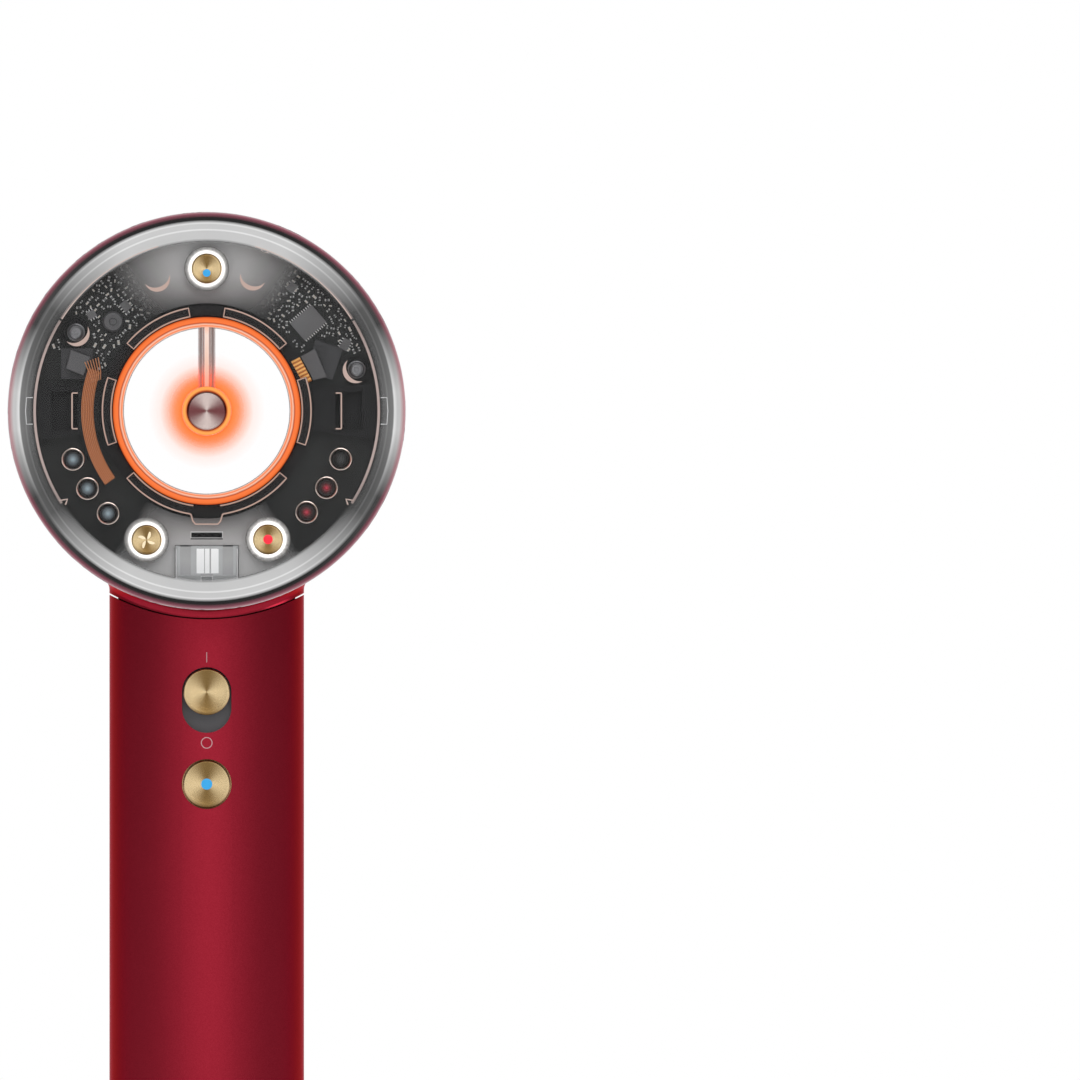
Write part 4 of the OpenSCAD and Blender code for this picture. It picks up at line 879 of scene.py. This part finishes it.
def small_parts():
    """Tiny ceramic parts with bright ends, scattered on the board with a fixed seed."""
    rng = random.Random(11)
    y_in = BOARD_FACE
    bodies, clear = bmesh.new(), []
    for start, end in PASSIVE_SPANS:
        made = 0
        for _ in range(2600):
            angle, radius = rng.uniform(start, end), rng.uniform(21.8, 32.6)
            x, z = radius * math.cos(math.radians(angle)), radius * math.sin(math.radians(angle))
            length = rng.choice((0.6, 0.75, 0.95))
            if any(math.hypot(x - cx, z - cz) < r for cx, cz, r in KEEP_CLEAR):
                continue
            if any(math.hypot(x - cx, z - cz) < (length + other) / 2 + 0.22 for cx, cz, other in clear):
                continue
            clear.append((x, z, length))
            turn = angle + rng.choice((0, 90, 90, 45, -45)) + rng.uniform(-4, 4)
            width, height = length * 0.5 * MM, rng.uniform(0.3, 0.55) * MM
            place = bay(x, z)
            core = rng.choice((0, 0, 2))
            turned_box(bodies, place, y_in - height, y_in, length * 0.55 * MM, width * 0.94, turn, core)
            a = math.radians(turn)
            for end_side in (-1, 1):
                offset = Vector((math.cos(a), math.sin(a))) * end_side * length * 0.39 * MM
                turned_box(bodies, (place[0] + offset.x, place[1] + offset.y), y_in - height - 0.03 * MM,
                           y_in, length * 0.20 * MM, width, turn, 1)
            made += 1
            if made > 150:
                break
    piece = new_piece("board_small_parts", bodies, [GRAPHITE, SILVER, PASSIVE], "root")
    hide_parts("board_passives")


def chip_parts():
    """Packages with fine legs, a round inductor, and shielding cans."""
    bm = bmesh.new()
    y_in = BOARD_FACE
    # x, z, length and width in mm, turn in degrees, height in mm
    chips = [(19.9, 17.3, 5.6, 4.4, 41, 1.1), (13.4, 26.9, 3.0, 2.6, 64, 0.9),
             (-12.9, 26.9, 2.8, 3.0, 117, 0.9), (-15.9, 20.6, 1.9, 1.6, 128, 0.7),
             (16.7, 24.2, 1.8, 1.6, 50, 0.7), (-22.6, 18.9, 1.7, 1.4, 30, 0.6),
             (27.2, 13.0, 2.2, 1.6, 60, 0.8)]
    for x, z, length, width, turn, height in chips:
        place = bay(x, z)
        turned_box(bm, place, y_in - height * MM, y_in - 0.12 * MM, length * MM, width * MM, turn)
        a = math.radians(turn)
        along, across = Vector((math.cos(a), math.sin(a))), Vector((-math.sin(a), math.cos(a)))
        legs = int(length / 0.5)
        for k in range(legs):
            for side in (-1, 1):
                offset = (along * (k - (legs - 1) / 2) * length / legs
                          + across * side * (width / 2 + 0.22)) * MM
                turned_box(bm, (place[0] + offset.x, place[1] + offset.y), y_in - 0.3 * MM, y_in,
                           0.2 * MM, 0.42 * MM, turn, 1)
    piece = new_piece("board_packages", bm, [CHIP_TOP, SILVER], "root")
    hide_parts("board_chips")
    coil_centre = bay(-18.4, 17.5)
    face = y_in - 1.6 * MM
    profile = [(0, face + 0.25 * MM), (0.6 * MM, face + 0.25 * MM), (0.75 * MM, face), (1.7 * MM, face),
               (2.0 * MM, face + 0.3 * MM), (2.0 * MM, y_in), (0, y_in)]
    coil = lathe_y("board_inductor", profile, coil_centre, GRAPHITE, "root", 48)


def flex_ends():
    """The fan of tracks at the left connector, and the striped tail at the right one."""
    y = ribbon_lo.y - 0.03 * MM
    for k in range(6):
        t = k / 5
        start = bay(-23.9 + 2.6 * t, 9.6 + 0.9 * t)
        end = bay(-22.4 + 1.6 * t, 5.6 + 0.5 * t)
        middle = bay(-23.0 + 2.2 * t, 7.4 + 0.3 * t)
        wire(f"flex_fan_{k + 1}", [start, middle, end], y, 0.13 * MM, COPPER_LINE)
    tail = [bay(16.5, 9.7), bay(18.2, 10.6), bay(20.7, 5.9), bay(19.0, 5.2)]
    plate("flex_tail_right", tail, y, ribbon_hi.y, STRIPED)
    grey = [bay(18.4, 10.7), bay(21.2, 12.2), bay(23.6, 6.6), bay(20.9, 6.0)]
    plate("flex_stiffener_right", grey, y, ribbon_hi.y, GRAPHITE)
    grey = [bay(-26.6, 12.0), bay(-22.8, 10.6), bay(-24.2, 6.9), bay(-27.6, 8.3)]
    plate("flex_stiffener_left", grey, y, ribbon_hi.y, GRAPHITE)


def light_domes():
    """The lenses of the indicator lights: on the left dark glass with a pale blue painted highlight in the
    middle, on the right the two lower ones lit dark red and the top one dark with a faint painted highlight.
    """
    # Painted highlights: a pale blue spot on the left lenses, and a faint grey one on the unlit lens.
    cool = [(0.0, (0.30, 0.38, 0.42)), (0.45, (0.13, 0.16, 0.18)), (0.9, (0.018, 0.018, 0.020))]
    warm = [(0.0, (0.55, 0.03, 0.06)), (0.28, (0.22, 0.02, 0.03)), (0.6, (0.05, 0.018, 0.018)),
            (0.95, (0.02, 0.018, 0.018))]
    off = [(0.0, (0.05, 0.05, 0.05)), (0.8, (0.012, 0.012, 0.012))]
    for k, (angle, stops) in enumerate(zip(LIGHT_ANGLES, (cool, cool, cool, off, warm, warm))):
        centre = polar(angle, LIGHT_R)
        material = lit(f"light_{k + 1}_glass", stops, (centre[0], 0, centre[1]), 0, 1.5 * MM, 0.8)
        top = light_lo.y - 0.05 * MM
        profile = [(1.5 * MM, top + 1.0 * MM)]
        profile += [(1.5 * MM * math.cos(math.radians(d)), top + 0.6 * MM * (1 - math.sin(math.radians(d))))
                    for d in range(0, 91, 15)]
        dome = lathe_y(f"light_dome_{k + 1}", profile, centre, material, "root", 40)


def light_rims():
    """Polished rose-metal rims round the indicator lights."""
    lo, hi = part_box("indicator_bezels")
    pieces = []
    for k, angle in enumerate(LIGHT_ANGLES):
        centre = polar(angle, LIGHT_R)
        y = lo.y
        profile = [(1.56 * MM, hi.y), (1.56 * MM, y + 0.75 * MM), (1.78 * MM, y + 0.3 * MM),
                   (1.95 * MM, y + 0.05 * MM), (2.05 * MM, y), (2.18 * MM, y + 0.04 * MM),
                   (2.28 * MM, y + 0.2 * MM), (2.3 * MM, y + 0.6 * MM), (2.3 * MM, hi.y), (1.56 * MM, hi.y)]
        piece = lathe_y(f"light_rim_{k + 1}", profile, centre, RIM, "root", 56)
        pieces.append(piece)
    for piece in pieces:
        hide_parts("indicator_bezels")


def screw_heads():
    """Round screw heads with a turned rim, a recess and a bright middle."""
    lo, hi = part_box("board_screws")
    pieces = []
    for k, (angle, radius) in enumerate(SCREW_PLACES):
        centre = polar(angle, radius * MM)
        profile = [(0, lo.y + 0.5 * MM), (0.42 * MM, lo.y + 0.5 * MM), (0.5 * MM, lo.y + 0.75 * MM),
                   (0.95 * MM, lo.y + 0.75 * MM), (1.05 * MM, lo.y + 0.15 * MM), (1.3 * MM, lo.y + 0.05 * MM),
                   (1.5 * MM, lo.y + 0.3 * MM), (1.72 * MM, lo.y + 0.35 * MM), (1.75 * MM, BOARD_FACE),
                   (0.9 * MM, BOARD_FACE), (0.9 * MM, hi.y), (0, hi.y)]
        piece = lathe_y(f"screw_head_{k + 1}", profile, centre, SCREW, "root", 48)
        pieces.append(piece)
    for piece in pieces:
        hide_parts("board_screws")


def screw_crescents():
    """The lit side of each screw cup, a pale crescent that thins to its ends."""
    cups_lo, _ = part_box("screw_cups")
    frost_lo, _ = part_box("top_diffuser")
    for k, ((angle, radius), turn) in enumerate(zip(SCREW_PLACES, (305, 215, 290, 250))):
        cx, cz = polar(angle, radius * MM)
        front = min(cups_lo.y, frost_lo.y) if k > 1 else cups_lo.y
        bm = bmesh.new()
        rings = []
        for i in range(25):
            t = i / 24
            a = math.radians(turn - 80 + 160 * t)
            half = 0.42 * MM * math.sin(math.pi * t) + 0.02 * MM
            inner, outer = 2.55 * MM - 1.5 * half, 2.55 * MM + 0.5 * half
            rings.append([Vector((cx + r * math.cos(a), y, cz + r * math.sin(a)))
                          for r, y in ((inner, front - 0.02 * MM), (outer, front - 0.08 * MM),
                                       (outer, front + 0.1 * MM), (inner, front + 0.1 * MM))])
        loft(bm, rings)
        piece = new_piece(f"screw_crescent_{k + 1}", bm, [PAINTED_EDGE_LIGHT], "root")


def button_halos():
    """Rings of light that spill round each rear button."""
    y = bezel_lo.y - 0.03 * MM
    for name, centre in (("mode", mode_centre), ("airflow", air_centre), ("heat", heat_centre)):
        profile = [(SPILL_INNER, y), (SPILL_OUTER, y), (SPILL_OUTER, y + 0.03 * MM),
                   (SPILL_INNER, y + 0.03 * MM), (SPILL_INNER, y)]
        spill = spread_light(f"{name}_spill", centre)
        piece = lathe_y(f"{name}_light_ring", profile, centre, spill, "root", 72)


ON_MARK_BELOW_HEAD = 48.4 * MM
OFF_MARK_BELOW_HEAD = 65.2 * MM
MARK_R = 1.05 * MM            # the off mark is a ring, the on mark a bar


def handle_marks():
    """On and off marks painted on the handle above and below the slider's slot."""
    paint = moulded("mark_paint", (0.62, 0.36, 0.38), 0.45, depth=0.001 * MM)

    def on_surface(x, z):
        return Vector((x, -math.sqrt(HANDLE_R ** 2 - x ** 2) + 0.05 * MM, z))

    z = HEAD_Z - ON_MARK_BELOW_HEAD
    bar = tube_piece("on_mark", [on_surface(0, z + 1.0 * MM * t) for t in (-1, 0, 1)], 0.11 * MM, paint)
    z = HEAD_Z - OFF_MARK_BELOW_HEAD
    ring = tube_piece("off_mark", [on_surface(MARK_R * math.cos(2 * math.pi * i / 40),
                                              z + MARK_R * math.sin(2 * math.pi * i / 40))
                                   for i in range(40)], 0.11 * MM, paint, "root", True)


trim_outlines()
arc_hooks()
window_brackets()
light_guide_lines()
light_guide_bars()
small_parts()
chip_parts()
flex_ends()
light_domes()
light_rims()
screw_heads()
screw_crescents()
button_halos()
handle_marks()


# ---- Neck fillet ----

def neck_fillet():
    """The smooth sweep of paint between the head's barrel and the neck collar."""
    sweep = 2.2 * MM
    drop = 1.6 * MM
    ring = [(math.hypot(v.co.x, v.co.z - HEAD_Z), v.co.y) for v in frame["nodes"]["head_shell"].data.vertices
            if v.co.z > HEAD_Z + HEAD_R / 2]
    front_r, front_y = max(place for place in ring if place[1] > 0)
    slope = (HEAD_R - front_r) / (front_y - shell_lo.y)

    def surface(x, y):
        radius = HEAD_R - slope * (y - shell_lo.y)
        return Vector((x, y, HEAD_Z - math.sqrt(radius ** 2 - x ** 2)))

    rings = []
    rows = 9
    for k in range(rows):
        t = k / (rows - 1)
        ring = []
        for i in range(160):
            a = 2 * math.pi * i / 160
            corner = surface(HANDLE_R * math.cos(a), HANDLE_R * math.sin(a))
            foot = corner - Vector((0, 0, drop))
            reach = HANDLE_R + sweep
            top = surface(reach * math.cos(a), reach * math.sin(a))
            ring.append(foot * (1 - t) ** 2 + corner * 2 * t * (1 - t) + top * t ** 2)
        rings.append(ring)
    inner = [p + (Vector((0, 0, p.z)) - p) * 0.04 + Vector((0, 0, 0.5 * MM)) for p in rings[0]]
    outer = [p + Vector((0, 0, 0.6 * MM)) for p in rings[-1]]
    bm = bmesh.new()
    loft(bm, [inner, *rings, outer, inner])
    bmesh.ops.remove_doubles(bm, verts=bm.verts, dist=1e-7)
    piece = new_piece("neck_fillet", bm, [RED], "root", math.radians(60))


neck_fillet()


# ---- Light thrown by the capsule ----

def capsule_halo():
    """Light round the lit capsule, as a very thin saucer inside the bore."""
    outer = 11.5 * MM
    y = capsule_lo.y + 4 * MM
    inner = CAPSULE_R + 0.92 * MM
    steps = 14
    front = [(inner + (outer - inner) * i / steps, y) for i in range(steps + 1)]
    back = [(r, y + 0.05 * MM) for r, _ in reversed(front)]
    piece = lathe_y("capsule_glow", front + back + front[:1], (0, HEAD_Z), halo(
        "thrown_light", (1.0, 0.2, 0.05), HEAD_AXIS, inner, outer, 1.0), "root", 128)


capsule_halo()


# ---- Stage, camera and light ----

PHOTO_WIDTH = 211.6 * MM      # width of the frame at the dryer
CAMERA_BACK = 8.0             # the view is nearly parallel
FLOOR_R = 2.4
CAGE_TRAVEL = 45 * MM         # how far the filter cage pulls down
CAMERA_X = 65.3 * MM          # the dryer stands left of the frame's middle
CAMERA_BELOW_HEAD = 25.3 * MM # the frame's middle is below the head's axis


def floor_paper():
    """Pale paper that brightens to white far from the dryer, so that no edge shows."""
    material, tree, shader = start_material("floor_paper", Specular_IOR_Level=0.2)
    place = add_node(tree, "ShaderNodeTexCoord").outputs["Object"]
    flat = add_node(tree, "ShaderNodeVectorMath", {0: place, 1: (1, 1, 0)}, operation="MULTIPLY").outputs[0]
    distance = add_node(tree, "ShaderNodeVectorMath", {0: flat}, operation="LENGTH").outputs["Value"]
    fibre = grain(tree, 1.2 * MM)
    tree.links.new(mix_colour(tree, fibre, (0.84, 0.84, 0.84), (0.88, 0.88, 0.88)),
                   shader.inputs["Base Color"])
    tree.links.new(spread(tree, fibre, 0.75, 0.85), shader.inputs["Roughness"])
    shader.inputs["Emission Color"].default_value = (1, 1, 1, 1)
    share = math_node(tree, "DIVIDE", distance, FLOOR_R)
    tree.links.new(ramp(tree, share, [(0.05, 0.0), (0.45, 0.22), (0.8, 0.45)]),
                   shader.inputs["Emission Strength"])
    bump(tree, shader, fibre, 0.02 * MM)
    return material


def stage():
    """A plain pale floor, low enough for the filter cage to come off above it."""
    bm = bmesh.new()
    z = base_lo.z - CAGE_TRAVEL - 2 * MM
    loft(bm, [[Vector((0, 0, z))], *[[Vector((r * math.cos(2 * math.pi * i / 96),
                                            r * math.sin(2 * math.pi * i / 96), z)) for i in range(96)]
                                   for r in (0.3, FLOOR_R)]])
    mesh = bpy.data.meshes.new("floor")
    bm.to_mesh(mesh)
    bm.free()
    mesh.materials.append(floor_paper())
    floor = bpy.data.objects.new("floor", mesh)
    bpy.context.collection.objects.link(floor)


def camera():
    data = bpy.data.cameras.new("camera")
    data.sensor_width = 36.0
    data.lens = data.sensor_width * CAMERA_BACK / PHOTO_WIDTH
    data.clip_end = 20
    eye = bpy.data.objects.new("camera", data)
    eye.location = (0, LENS_FACE - CAMERA_BACK, HEAD_Z)
    aim = Vector((CAMERA_X, LENS_FACE, HEAD_Z - CAMERA_BELOW_HEAD))
    eye.rotation_euler = (aim - eye.location).to_track_quat("-Z", "Y").to_euler()
    bpy.context.collection.objects.link(eye)
    bpy.context.scene.camera = eye


def softbox(name, place, aim, width, height, power, only_on=()):
    """A soft area lamp. With only_on, it lights those objects and no others."""
    data = bpy.data.lights.new(name, "AREA")
    data.shape = "RECTANGLE"
    data.size, data.size_y = width, height
    data.energy = power
    lamp = bpy.data.objects.new(name, data)
    lamp.location = place
    lamp.rotation_euler = (Vector(aim) - Vector(place)).to_track_quat("-Z", "Z").to_euler()
    lamp.visible_camera = False
    bpy.context.collection.objects.link(lamp)
    if only_on:
        receivers = bpy.data.collections.new(name + "_receivers")
        for item in only_on:
            receivers.objects.link(item)
        lamp.light_linking.receiver_collection = receivers


def world():
    """A white background, and a soft surround that is bright behind and before the dryer."""
    surround = bpy.data.worlds.new("studio")
    surround.use_nodes = True
    tree = surround.node_tree
    tree.nodes.clear()
    direction = add_node(tree, "ShaderNodeTexCoord").outputs["Generated"]
    split = add_node(tree, "ShaderNodeSeparateXYZ", {0: direction})
    depth = math_node(tree, "ABSOLUTE", split.outputs[1])
    glow = math_node(tree, "POWER", depth, 3.0)
    level = spread(tree, glow, 0.055, 0.78)
    soft = add_node(tree, "ShaderNodeBackground", {"Color": (1, 1, 1, 1), "Strength": level})
    even = add_node(tree, "ShaderNodeBackground", {"Color": (1, 1, 1, 1), "Strength": 0.75})
    plain = add_node(tree, "ShaderNodeBackground", {"Color": (1, 1, 1, 1), "Strength": 1.0})
    path = add_node(tree, "ShaderNodeLightPath")
    lit_by = add_node(tree, "ShaderNodeMixShader", {
        0: path.outputs["Is Diffuse Ray"], 1: soft.outputs[0], 2: even.outputs[0]})
    mixed = add_node(tree, "ShaderNodeMixShader", {
        0: path.outputs["Is Camera Ray"], 1: lit_by.outputs[0], 2: plain.outputs[0]})
    output = add_node(tree, "ShaderNodeOutputWorld")
    tree.links.new(mixed.outputs[0], output.inputs[0])
    bpy.context.scene.world = surround


stage()
camera()
softbox("front_light", (0.15, -1.5, 0.9), (0, 0, 0.08), 0.9, 0.9, 5)
softbox("side_light", (1.6, 0.05, HEAD_Z + 0.02), (0, 0.01, HEAD_Z), 1.2, 0.9, 8,
        [frame["nodes"]["head_shell"]])
world()
bpy.context.scene.view_settings.view_transform = "Standard"
bpy.context.scene.cycles.transparent_max_bounces = 32
